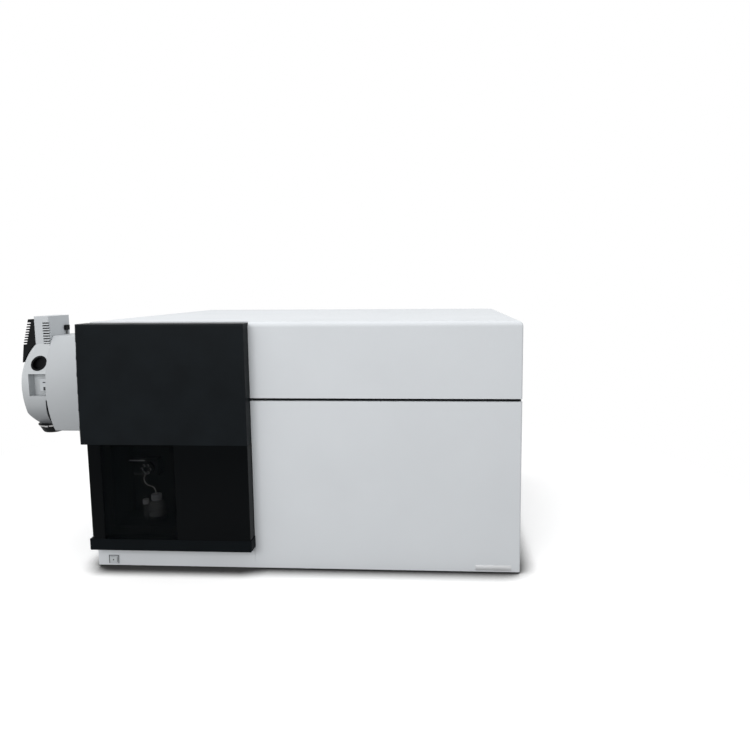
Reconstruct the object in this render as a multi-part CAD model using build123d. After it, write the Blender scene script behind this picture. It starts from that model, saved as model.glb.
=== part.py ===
from build123d import *
import os
from math import cos, pi, radians, sin, sqrt, tan

os.makedirs("parts", exist_ok=True)

# A bench-top liquid-chromatography mass spectrometer, in millimetres.
# Every piece is drawn in body coordinates: X = 0 at the body's left side, Y = 0 at the pale
# front panels' face, Z = 0 on the bench. save() moves the whole to the bottom centre of its box.

# ---- driving dimensions: body and covers ----
body_width = 962.0
body_depth = 755.0
body_height = 560.0
foot_height = 12.0
foot_radius = 22.0
foot_inset = 60.0
skirt_gap = 4.0
sheet = 2.5
moulding = 3.0
clear = 0.3
tray_height = 34.0
panel_depth = 20.0
top_cover_height = 30.0
edge_radius = 11.0
corner_radius = 4.0

# ---- black front: cover, door, sill ----
cover_width = 369.0
cover_proud = 30.0
cover_drop = 2.5
cover_flare = 4.6
cover_bow = 4.2
split_z = 293.0
sill_bottom = 51.0
sill_top = 78.0
sill_left = 4.0
sill_overhang = 1.5
sill_chamfer = 3.0
door_left = 10.0
door_depth = 26.0
door_gap = 0.4
door_axis_x = 19.0
door_axis_y = -18.0
pin_radius = 2.5
pin_length = 6.0
running_gap = 0.08
groove_bottom = 386.0
groove_height = 6.5
groove_depth = 8.0

# ---- calibrant bay behind the door ----
bay_x0 = 47.0
bay_x1 = 198.0
bay_z0 = 97.0
bay_z1 = 288.0
bay_back = 98.0
bay_rim = 17.0
valve_x = 97.0
valve_z = 212.0
valve_size = 44.0
valve_depth = 26.0
stator_radius = 15.0
stator_thickness = 8.0
valve_rotor_radius = 13.0
rotor_thickness = 5.0
fitting_radius = 2.6
fitting_length = 9.0
fitting_count = 6
fitting_circle = 9.5
tube_radius = 1.2
tube_lead = 22.0
tube_knee = (110.0, 28.0, 184.0)
tube_drop = 17.0
tube_arc_share = 0.45
bottle_radius = 19.0
bottle_height = 46.0
bottle_neck_radius = 9.0
bottle_neck_height = 6.0
bottle_wall = 1.5
bottle_x = 128.0
bottle_y = 40.0
cap_radius = 11.5
cap_height = 13.0
holder_height = 14.0
holder_wall = 3.0

# ---- plinth and power switch ----
switch_x = 40.5
switch_z = 18.0
switch_width = 25.0
switch_height = 21.0
bezel_width = 2.5
bezel_proud = 1.2
button_travel = 3.0
button_proud = 4.0
switch_body_depth = 19.0
switch_wall = 1.5
button_round = 1.0

# ---- source: collar, chamber, sprayer ----
axis_y = 167.0
axis_z = 410.0
collar_length = 131.0
collar_height = 227.0
collar_depth = 222.0
collar_bulge_z = 398.0
collar_top_setback = 42.0
collar_low_setback = 26.5
collar_corner = 8.0
collar_wall = 4.0
throat_radius = 56.0
flange_radius = 88.0
flange_thickness = 22.0
neck_radius = 60.0
seal_radius = 48.0
seal_width = 4.0
seal_height = 3.7
capillary_radius = 3.5
capillary_reach = 60.0
nose_length = 16.0
nose_radius = 18.0
source_reach = 212.0
chamber_front = 85.0
chamber_back = 249.0
chamber_bottom = 310.0
chamber_top = 505.0
chamber_wall = 4.0
chamber_round = 7.0
chamber_gap = 0.5
housing_gap = 1.5
belly_radius = 69.0
belly_rise = 48.0
gutter_width = 20.0
gutter_depth = 30.0
gutter_top = 370.0
gutter_inset = 1.5
cup_radius = 54.0
cup_wall = 9.0
cup_length = 58.0
bulge_z = 402.0
shoulder_x = -169.0
heel_x = -202.0
heel_z = 339.0
toe_x = -179.0
port_x = -162.0
port_z = 459.0
port_reach = (21.5, 15.6)
port_turn = 38.0
port_depth = 12.0
port_rim = 2.0
port_proud = 1.0
latch_x0 = -191.0
latch_x1 = -146.0
latch_z0 = 380.0
latch_z1 = 433.0
latch_depth = 22.0
latch_pin_radius = 2.0
lever_height = 30.0
lever_length = 20.0
lever_thickness = 6.0
hood_x0 = -166.0
hood_x1 = -132.0
hood_back = 168.0
hood_top = 570.0
hood_wall = 3.0
hood_slots = 9
slot_pitch = 6.1
slot_height = 3.0
slot_length = 15.0
slot_top = 555.5
grille_top = 563.0
grille_x0 = -181.0
grille_seat = -201.0
grille_flare = -201.5
grille_flare_z = 461.0
grille_waist = -196.0
grille_waist_z = 505.0
grille_slot_depth = 8.0
nebulizer_y = 150.0
nebulizer_x = -150.0
nebulizer_radius = 6.0
nebulizer_head = 11.0
nebulizer_tip_z = 446.0
drain_x = -162.0
drain_y = 118.0
drain_radius = 29.0
drain_low_x = -156.5
drain_low_radius = 22.0
drain_depth = 21.5
drain_round = 7.0
connector_y = 152.0
connector_z = 540.0
connector_width = 16.0
connector_height = 12.0
connector_reach = 5.0
boot_height = 10.0
plug_round = 1.0
hinge_y = 262.0
hinge_radius = 8.0
hinge_pin_radius = 4.0
knuckle_height = 60.0
lug_height = 15.0
hinge_pin_head = 3.0
hinge_pin_rim = 2.0

# ---- vacuum system ----
manifold_x0 = 45.0
manifold_right_gap = 92.0
manifold_size = 150.0
manifold_wall = 12.0
lid_thickness = 10.0
divider_thickness = 10.0
divider_x = (190.0, 490.0)
aperture_radius = 10.0
holder_margin = 10.0
holder_thickness = 8.0
funnel_mouth = 40.0
guide_length = 110.0
guide_rods = 8
guide_rod = 3.0
guide_circle = 14.0
quad_rods = 4
quad_rod = 9.0
quad_circle = 17.0
quad_length = 160.0
detector_length = 60.0
pump_x = (250.0, 620.0)
pump_radius = 58.0
pump_height = 160.0
pump_wall = 6.0
pump_mouth = 46.0
rotor_radius = 46.0
rotor_disc_height = 4.0
rotor_disc_pitch = 16.0
rotor_discs = 6
shaft_radius = 8.0
bearing_height = 20.0
post_radius = 8.0
post_inset = 35.0
pipe_radius = 13.0
pipe_bore = 11.0
pipe_z = 205.0
pipe_bend = 40.0
branch_y = 275.0
exhaust_length = 22.0
exhaust_flange = 24.0
exhaust_flange_thickness = 4.0
exhaust_shoulder = 16.0
exhaust_shoulder_proud = 3.0
hose_radius = 14.0
hose_chamfer = 1.0

# ---- electronics and rear panel ----
fan_side_gap = 117.0
fan_pitch = 145.0
fan_drop = 140.0
fan_size = 120.0
fan_depth = 25.0
fan_bore = 57.0
spoke_count = 3
spoke_width = 6.0
fan_hub = 20.0
fan_blades = 7
blade_reach = 54.0
blade_thickness = 1.6
blade_angle = 35.0
blade_root = 1.0
fan_pin_radius = 3.0
hub_plate = 4.0
guard_thickness = 2.5
guard_bar = 3.0
guard_rings = 3
supply_size = (280.0, 200.0, 140.0)
supply_side_gap = 10.0
supply_front_gap = 30.0
module_size = (150.0, 110.0, 210.0)
module_x0 = 330.0
module_pitch = 190.0
module_count = 3
module_front_gap = 42.0
board_gap = 10.0
board_width = 300.0
board_height = 260.0
board_thickness = 1.6
chip_size = 30.0
chip_height = 5.0
chip_pitch = 85.0
chip_inset = 45.0
chip_count = 3
standoff_length = 14.0
standoff_radius = 4.0
inlet_side_gap = 82.0
inlet_z = 80.0
inlet_width = 48.0
inlet_height = 28.0
inlet_depth = 22.0
inlet_wall = 3.0
jack_x = 430.0
port_row_z = 100.0
jack_size = 16.0
jack_wall = 2.0
jack_depth = 14.0
jack_proud = 1.0
serial_x = (480.0, 540.0)
serial_width = 31.0
serial_height = 12.0
serial_reach = 6.0
gas_x = (80.0, 130.0)
gas_drop = 90.0
gas_radius = 7.0
gas_reach = 18.0
gas_hex = 11.0
screw_radius = 2.0
screw_head = 4.5
screw_head_height = 2.4
screw_inset = 20.0
louvre_count = 12
louvre_pitch = 14.0
louvre_length = 150.0
louvre_height = 5.0
louvre_z0 = 120.0
louvre_y = (140.0, 420.0)

# ---- places worked out from them ----
front_y = -cover_proud
rear_y = body_depth + exhaust_length
inner_rear = body_depth - sheet
shelf_z = body_height - top_cover_height
tray_floor = foot_height + sheet
panel_left = cover_width + clear
groove_top = groove_bottom + groove_height
bulkhead_back = panel_depth + sheet
cup_right = -collar_length - chamber_gap
chamber_right = -collar_length - housing_gap
gutter_x = chamber_right - gutter_width
flange_x = -collar_length + collar_wall
manifold_low = axis_z - manifold_size / 2
manifold_high = axis_z + manifold_size / 2
manifold_front = axis_y - manifold_size / 2
manifold_back = axis_y + manifold_size / 2
manifold_x1 = body_width - manifold_right_gap
post_x = (manifold_x0 + post_inset, manifold_x1 - post_inset)
hinge_x = -collar_length - chamber_gap - hinge_radius
holder_fit = manifold_size - 2 * manifold_wall - 2 * clear
fan_x = (body_width - fan_side_gap - fan_pitch, body_width - fan_side_gap)
fan_z = body_height - fan_drop
inlet_x = body_width - inlet_side_gap
module_y = branch_y + pipe_radius + module_front_gap
supply_x = inlet_x - inlet_width / 2 - supply_side_gap - supply_size[0]
supply_y = module_y + module_size[1] + supply_front_gap
board_x0 = fan_x[0] - fan_size / 2 - board_gap - board_width
board_z0 = pipe_z + exhaust_flange + board_gap
gas_z = body_height - gas_drop
shift = Pos(
    -(body_width - source_reach) / 2,
    -(rear_y + front_y) / 2,
    0,
)


def save(name, *solids):
    """Write one node, moved to the part's own origin."""
    moved = [shift * solid for solid in solids]
    shape = moved[0] if len(moved) == 1 else Compound(children=moved)
    export_step(shape, f"parts/{name}.step")


def block(x0, x1, y0, y1, z0, z1):
    """A box between two corners."""
    return Pos((x0 + x1) / 2, (y0 + y1) / 2, (z0 + z1) / 2) * Box(x1 - x0, y1 - y0, z1 - z0)


def rod_x(x0, x1, y, z, radius):
    return Pos((x0 + x1) / 2, y, z) * Rot(0, 90, 0) * Cylinder(radius, x1 - x0)


def rod_y(x, y0, y1, z, radius):
    return Pos(x, (y0 + y1) / 2, z) * Rot(90, 0, 0) * Cylinder(radius, y1 - y0)


def rod_z(x, y, z0, z1, radius):
    return Pos(x, y, (z0 + z1) / 2) * Cylinder(radius, z1 - z0)


def edges_at(solid, axis, x=None, y=None, z=None, tol=0.01):
    """Straight edges along one axis whose middle lies at the places given."""
    found = []
    for edge in solid.edges().filter_by(axis):
        middle = edge.center()
        wanted = ((x, middle.X), (y, middle.Y), (z, middle.Z))
        if all(place is None or abs(place - value) < tol for place, value in wanted):
            found.append(edge)
    return found


def back_pan(x0, x1, y0, y1, z0, z1, wall, rounds=()):
    """A moulded pan with its face at y0, open at the back; rounds lists (axis, place, radius)."""
    shell = block(x0, x1, y0, y1, z0, z1)
    for axis, place, radius in rounds:
        shell = fillet(edges_at(shell, axis, **place), radius)
    return shell - block(x0 + wall, x1 - wall, y0 + wall, y1, z0 + wall, z1 - wall)


# ---- chassis ----
def chassis():
    tray = block(
        sheet, body_width - sheet, bulkhead_back, inner_rear, foot_height, foot_height + tray_height,
    )
    tray -= block(
        2 * sheet, body_width - 2 * sheet, bulkhead_back + sheet, inner_rear - sheet,
        tray_floor, foot_height + tray_height,
    )

    bulkhead = block(sheet, body_width - sheet, panel_depth, bulkhead_back, foot_height, shelf_z)
    bulkhead -= block(
        bay_x0 - moulding - clear, bay_x1 + moulding + clear, panel_depth, bulkhead_back,
        bay_z0 - moulding - clear, bay_z1 + moulding + clear,
    )
    save("chassis", tray + bulkhead)

    feet = []
    for x in (foot_inset, body_width - foot_inset):
        for y in (foot_inset + panel_depth, body_depth - foot_inset):
            foot = rod_z(x, y, 0, foot_height, foot_radius)
            feet.append(chamfer(foot.edges().group_by(Axis.Z)[0], foot_height / 4))
    save("feet", *feet)

    posts = [
        rod_z(x, y, tray_floor, manifold_low, post_radius)
        for x in post_x
        for y in (bay_back + moulding + post_radius + 2 * clear, manifold_back - 2 * post_radius)
    ]
    save("manifold_posts", *posts)


# ---- black cover, door, sill and pale panels ----
def front_covers():
    cover_top = body_height - cover_drop
    left_side = ThreePointArc(
        (0, cover_top), (-cover_bow, (cover_top + split_z) / 2), (-cover_flare, split_z),
    )
    other_sides = Polyline(
        (-cover_flare, split_z), (cover_width, split_z), (cover_width, cover_top), (0, cover_top),
    )
    outline = make_face(Plane.XZ * (Curve() + [left_side, other_sides]))
    cover = front_extrude(outline, front_y, panel_depth)
    front_edges = cover.edges().filter_by_position(Axis.Y, front_y, front_y)
    cover = fillet(front_edges.sort_by(Axis.X)[:1] + front_edges.sort_by(Axis.Z)[-1:], corner_radius)
    cover -= front_extrude(offset(outline, -moulding), front_y + moulding, panel_depth)
    cover += rod_z(door_axis_x, door_axis_y, split_z - pin_length, split_z, pin_radius)
    save("upper_front_cover", cover)

    door_back = front_y + door_depth
    rounds = [(Axis.Z, {"x": door_left, "y": front_y}, corner_radius)]
    door = back_pan(
        door_left, cover_width, front_y, door_back,
        sill_top + door_gap, split_z - door_gap, moulding, rounds,
    )
    door -= rod_z(door_axis_x, door_axis_y, sill_top, split_z, pin_radius + running_gap)
    save("bay_door", door)

    sill_right = cover_width + sill_overhang
    lip = block(sill_left, sill_right, front_y, -clear, sill_bottom, sill_top)
    lip = chamfer(edges_at(lip, Axis.Y, x=sill_right, z=sill_bottom), sill_chamfer)
    lip = fillet(edges_at(lip, Axis.X, y=front_y, z=sill_bottom), corner_radius)
    sill = lip + block(sill_left, cover_width, -clear, panel_depth, sill_bottom, sill_top)
    sill -= block(
        sill_left + moulding, cover_width - moulding, front_y + moulding, panel_depth,
        sill_bottom + moulding, sill_top - moulding,
    )
    sill += rod_z(door_axis_x, door_axis_y, sill_top, sill_top + pin_length, pin_radius)
    save("sill", sill)

    plinth = back_pan(sill_left, cover_width, 0, panel_depth, skirt_gap, sill_bottom - clear, sheet)
    window_x = switch_width / 2 - bezel_width
    window_z = switch_height / 2 - bezel_width
    plinth -= block(
        switch_x - window_x, switch_x + window_x, 0, sheet, switch_z - window_z, switch_z + window_z,
    )
    save("front_plinth", plinth)

    upper = block(panel_left, body_width, 0, panel_depth, groove_top, body_height)
    upper = fillet(edges_at(upper, Axis.Z, x=body_width, y=0), corner_radius)
    upper = fillet(edges_at(upper, Axis.X, y=0, z=body_height), edge_radius)
    hollow = block(
        panel_left + moulding, body_width - moulding, moulding, panel_depth,
        groove_top + moulding, body_height - moulding,
    )
    inner_edge = edges_at(hollow, Axis.X, y=moulding, z=body_height - moulding)
    save("upper_front_panel", upper - fillet(inner_edge, edge_radius - moulding))

    lower = back_pan(
        panel_left, body_width, 0, panel_depth, skirt_gap, groove_bottom, moulding,
        [(Axis.Z, {"x": body_width, "y": 0}, corner_radius)],
    )
    save("lower_front_panel", lower)
    rail = block(
        panel_left + moulding, body_width - moulding, groove_depth, panel_depth, groove_bottom, groove_top,
    )
    save("groove_rail", rail)


# ---- top, side and rear covers ----
def screw_places():
    """Rear screws, as (x, z), inside the panel's border."""
    columns = (screw_inset, body_width / 3, 2 * body_width / 3, body_width - screw_inset)
    rows = (foot_height + tray_height - screw_inset / 2, shelf_z - screw_inset / 2)
    return [(x, z) for x in columns for z in rows]


def outer_covers():
    top = block(0, body_width, panel_depth + clear, body_depth, shelf_z, body_height)
    outer_edges = edges_at(top, Axis.Y, z=body_height)
    outer_edges += edges_at(top, Axis.X, y=body_depth, z=body_height)
    top = fillet(outer_edges, edge_radius)
    hollow = block(
        sheet, body_width - sheet, panel_depth + clear + sheet, inner_rear, shelf_z, body_height - sheet,
    )
    inner_edges = edges_at(hollow, Axis.Y, z=body_height - sheet)
    inner_edges += edges_at(hollow, Axis.X, y=inner_rear, z=body_height - sheet)
    save("top_cover", top - fillet(inner_edges, edge_radius - sheet))

    left = block(0, sheet, panel_depth, body_depth, foot_height, shelf_z)
    left -= rod_x(0, sheet, axis_y, axis_z, neck_radius + clear)
    save("left_panel", left)

    right = block(body_width - sheet, body_width, panel_depth, body_depth, foot_height, shelf_z)
    for y in louvre_y:
        for i in range(louvre_count):
            z = louvre_z0 + i * louvre_pitch
            right -= block(body_width - sheet, body_width, y, y + louvre_length, z, z + louvre_height)
    save("right_panel", right)

    rear = block(sheet, body_width - sheet, inner_rear, body_depth, foot_height, shelf_z)
    for x in fan_x:
        rear -= rod_y(x, inner_rear, body_depth, fan_z, fan_bore)
    rear -= rod_y(pump_x[0], inner_rear, body_depth, pipe_z, exhaust_shoulder + clear)
    rear -= block(
        inlet_x - inlet_width / 2, inlet_x + inlet_width / 2, inner_rear, body_depth,
        inlet_z - inlet_height / 2, inlet_z + inlet_height / 2,
    )
    jack_half = jack_size / 2
    rear -= block(
        jack_x - jack_half, jack_x + jack_half, inner_rear, body_depth,
        port_row_z - jack_half, port_row_z + jack_half,
    )
    for x, z in screw_places():
        rear -= rod_y(x, inner_rear, body_depth, z, screw_radius + clear / 2)
    save("rear_panel", rear)

    screws = []
    for x, z in screw_places():
        head = rod_y(x, body_depth, body_depth + screw_head_height, z, screw_head)
        head = chamfer(head.edges().group_by(Axis.Y)[-1], screw_head_height / 2)
        screws.append(head + rod_y(x, body_depth - sheet, body_depth, z, screw_radius))
    save("rear_screws", *screws)


# ---- calibrant bay ----
def bent_route(points):
    """Straight runs joined by tangent arcs, each as wide as its shorter run allows."""
    corners = [Vector(point) for point in points]
    start = corners[0]
    pieces = []
    radii = []
    for before, corner, after in zip(corners, corners[1:], corners[2:]):
        back = before - corner
        ahead = after - corner
        cut = tube_arc_share * min(back.length, ahead.length)
        enter = corner + back.normalized() * cut
        leave = corner + ahead.normalized() * cut
        radii.append(cut / tan(radians(180 - back.get_angle(ahead)) / 2))
        pieces += [Line(start, enter), TangentArc(enter, leave, tangent=enter - start)]
        start = leave
    print("transfer line bend radii:", [round(radius, 1) for radius in radii])
    return Curve() + [*pieces, Line(start, corners[-1])]


def calibrant_bay():
    moulded = back_pan(
        bay_rim, cover_width - moulding, 0, panel_depth,
        sill_top + door_gap, split_z - door_gap, moulding,
    )
    moulded -= block(bay_x0, bay_x1, 0, panel_depth, bay_z0, bay_z1)
    recess = block(
        bay_x0 - moulding, bay_x1 + moulding, 0, bay_back + moulding,
        bay_z0 - moulding, bay_z1 + moulding,
    )
    recess -= block(bay_x0, bay_x1, 0, bay_back, bay_z0, bay_z1)
    holder_z = bay_z0 + holder_height
    outer = bottle_radius + holder_wall
    holder = rod_z(bottle_x, bottle_y, bay_z0, holder_z, outer)
    holder -= rod_z(bottle_x, bottle_y, bay_z0 + holder_wall, holder_z, bottle_radius + clear)
    save("bay_moulding", moulded + recess + holder)

    body_front = bay_back - valve_depth
    valve = block(
        valve_x - valve_size / 2, valve_x + valve_size / 2, body_front, bay_back,
        valve_z - valve_size / 2, valve_z + valve_size / 2,
    )
    valve = fillet(valve.edges().filter_by(Axis.Y), corner_radius)
    well = body_front + rotor_thickness + clear
    spindle_end = well + fitting_length
    valve -= rod_y(valve_x, body_front, well, valve_z, valve_rotor_radius)
    valve -= rod_y(valve_x, body_front, spindle_end, valve_z, fitting_radius + running_gap)
    save("divert_valve", valve)
    rotor = rod_y(valve_x, body_front + clear, well, valve_z, valve_rotor_radius - clear)
    rotor += rod_y(valve_x, well, spindle_end - clear, valve_z, fitting_radius)
    save("valve_rotor", rotor)

    face = body_front - stator_thickness
    stator = rod_y(valve_x, face, body_front, valve_z, stator_radius)
    for i in range(fitting_count):
        turn = 2 * pi * i / fitting_count
        x = valve_x + fitting_circle * cos(turn)
        z = valve_z + fitting_circle * sin(turn)
        stator += rod_y(x, face - fitting_length, face, z, fitting_radius)
    save("valve_stator", stator)

    base = bay_z0 + holder_wall
    shoulder = base + bottle_height
    neck_top = shoulder + bottle_neck_height

    def bottle_form(low, high, radius, neck_radius):
        form = rod_z(bottle_x, bottle_y, low, high, radius)
        form = fillet(form.edges().group_by(Axis.Z)[-1], radius - neck_radius - running_gap)
        return form + rod_z(bottle_x, bottle_y, high, neck_top, neck_radius)

    bottle = bottle_form(base, shoulder, bottle_radius, bottle_neck_radius)
    bottle -= bottle_form(
        base + bottle_wall, shoulder - bottle_wall,
        bottle_radius - bottle_wall, bottle_neck_radius - bottle_wall,
    )
    save("calibrant_bottle", bottle)
    cap = rod_z(bottle_x, bottle_y, shoulder + clear, shoulder + clear + cap_height, cap_radius)
    cap -= rod_z(bottle_x, bottle_y, shoulder + clear, neck_top, bottle_neck_radius + clear)
    cap -= rod_z(bottle_x, bottle_y, neck_top, shoulder + clear + cap_height, tube_radius + running_gap)
    save("bottle_cap", cap)

    # The transfer line leaves the valve's lowest right fitting, bends down and enters the cap from above.
    turn = 2 * pi * (fitting_count - 1) / fitting_count
    end_x = valve_x + fitting_circle * cos(turn)
    end_z = valve_z + fitting_circle * sin(turn)
    start_y = face - fitting_length
    route = [
        (end_x, start_y, end_z),
        (end_x, start_y - tube_lead, end_z),
        tube_knee,
        (bottle_x, bottle_y, shoulder + clear + cap_height + tube_drop),
        (bottle_x, bottle_y, neck_top + clear),
    ]
    line = sweep(Plane(origin=route[0], z_dir=(0, -1, 0)) * Circle(tube_radius), bent_route(route))
    save("transfer_line", line)


# ---- power switch ----
def power_switch():
    half_x = switch_width / 2
    half_z = switch_height / 2
    inner_x = half_x - bezel_width
    inner_z = half_z - bezel_width
    bezel = block(
        switch_x - half_x, switch_x + half_x, -bezel_proud, 0, switch_z - half_z, switch_z + half_z,
    )
    bezel += block(
        switch_x - inner_x + clear, switch_x + inner_x - clear, 0, switch_body_depth,
        switch_z - inner_z + clear, switch_z + inner_z - clear,
    )
    wall = switch_wall
    bezel -= block(
        switch_x - inner_x + wall, switch_x + inner_x - wall, -bezel_proud, switch_body_depth - wall,
        switch_z - inner_z + wall, switch_z + inner_z - wall,
    )
    save("switch_housing", bezel)
    gap = wall + clear
    button = block(
        switch_x - inner_x + gap, switch_x + inner_x - gap, -button_proud,
        switch_body_depth - wall - button_travel - 2 * clear,
        switch_z - inner_z + gap, switch_z + inner_z - gap,
    )
    button = fillet(button.faces().sort_by(Axis.Y)[0].edges(), button_round)
    save("power_button", button)


# ---- ion source ----
def bulge_point(end, share):
    """A point, a share of the way up to end, on the arc that leaves the chamber's widest place upright."""
    run = end[0] + source_reach
    rise = end[1] - bulge_z
    radius = (run**2 + rise**2) / (2 * run)
    return -source_reach + radius - sqrt(radius**2 - (rise * share) ** 2), bulge_z + rise * share


def chamber_outline():
    """The chamber seen from the front: a bulged left end and a sloped lower corner."""
    widest = (-source_reach, bulge_z)
    shoulder = (shoulder_x, chamber_top)
    heel = (heel_x, heel_z)
    outline = Curve() + [
        ThreePointArc(shoulder, bulge_point(shoulder, 0.5), widest),
        ThreePointArc(widest, bulge_point(heel, 0.5), heel),
        Polyline(
            heel, (toe_x, chamber_bottom), (chamber_right, chamber_bottom),
            (chamber_right, chamber_top), shoulder,
        ),
    ]
    return make_face(Plane.XZ * outline)


def front_extrude(face, y0, y1):
    """Push a face drawn in XZ from y0 back to y1."""
    return Pos(0, y0, 0) * extrude(face, y1 - y0, dir=(0, 1, 0))


def turned(points, y, z):
    """A body turned about the X line through y, z from (x, radius) points."""
    return Pos(0, y, z) * revolve(make_face(Polyline(*points, close=True)), Axis.X)


def barrel(x0, x1, inset):
    """The collar's form: flat top and bottom, front and back bulged to one arc each."""
    half_y = collar_depth / 2 - inset
    half_z = collar_height / 2 - inset
    bulge = collar_bulge_z - axis_z
    top_y = half_y - collar_top_setback
    low_y = half_y - collar_low_setback
    outline = Curve() + [
        ThreePointArc((-low_y, -half_z), (-half_y, bulge), (-top_y, half_z)),
        Line((-top_y, half_z), (top_y, half_z)),
        ThreePointArc((top_y, half_z), (half_y, bulge), (low_y, -half_z)),
        Line((low_y, -half_z), (-low_y, -half_z)),
    ]
    solid = Pos(x0, axis_y, axis_z) * extrude(make_face(Plane.YZ * outline), x1 - x0, dir=(1, 0, 0))
    return fillet(solid.edges().filter_by(Axis.X), collar_corner)


def fixed_source():
    collar = barrel(-collar_length, 0, 0) - barrel(flange_x, 0, collar_wall)
    collar -= rod_x(-collar_length, flange_x, axis_y, axis_z, throat_radius)
    save("source_collar", collar)

    bore = capillary_radius + running_gap
    back = flange_x + flange_thickness
    flange = turned(
        [
            (flange_x, bore), (flange_x, flange_radius), (back, flange_radius),
            (back, neck_radius), (manifold_x0, neck_radius), (manifold_x0, bore),
        ],
        axis_y, axis_z,
    )
    save("source_flange", flange)
    lip = flange_x - seal_height
    seal = rod_x(lip, flange_x, axis_y, axis_z, seal_radius + seal_width)
    save("source_seal", seal - rod_x(lip, flange_x, axis_y, axis_z, seal_radius))

    tip = flange_x - nose_length
    inlet = turned(
        [
            (tip, capillary_radius / 3), (tip, capillary_radius), (flange_x, nose_radius),
            (flange_x, capillary_radius), (capillary_reach, capillary_radius),
            (capillary_reach, capillary_radius / 3),
        ],
        axis_y, axis_z,
    )
    save("capillary", inlet)

    half_knuckle = knuckle_height / 2
    pieces = []
    for z0 in (axis_z + half_knuckle + clear, axis_z - half_knuckle - clear - lug_height):
        lug = block(
            hinge_x, -collar_length, hinge_y - hinge_radius, hinge_y + hinge_radius, z0, z0 + lug_height,
        )
        lug += rod_z(hinge_x, hinge_y, z0, z0 + lug_height, hinge_radius)
        pieces.append(lug - rod_z(hinge_x, hinge_y, z0, z0 + lug_height, hinge_pin_radius))
    pin_reach = half_knuckle + clear + lug_height
    pin_top = axis_z + pin_reach
    pin = rod_z(hinge_x, hinge_y, axis_z - pin_reach, pin_top, hinge_pin_radius)
    pin += rod_z(hinge_x, hinge_y, pin_top, pin_top + hinge_pin_head, hinge_pin_radius + hinge_pin_rim)
    save("chamber_hinge", *pieces, pin)


def belly_corner(x0, x1, radius):
    """What is left outside the chamber's rounded lower front."""
    centre_y = chamber_front + belly_radius
    centre_z = chamber_bottom + belly_rise
    corner = block(x0, x1, chamber_front, centre_y, chamber_bottom, centre_z)
    return corner - rod_x(x0, x1, centre_y, centre_z, radius)


def port_form(inset, y0, y1):
    """The port's tilted oval, drawn in by inset, from y0 back to y1."""
    oval = Ellipse(port_reach[0] - inset, port_reach[1] - inset, rotation=port_turn)
    return front_extrude(Pos(port_x, 0, port_z) * (Plane.XZ * oval), y0, y1)


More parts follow.
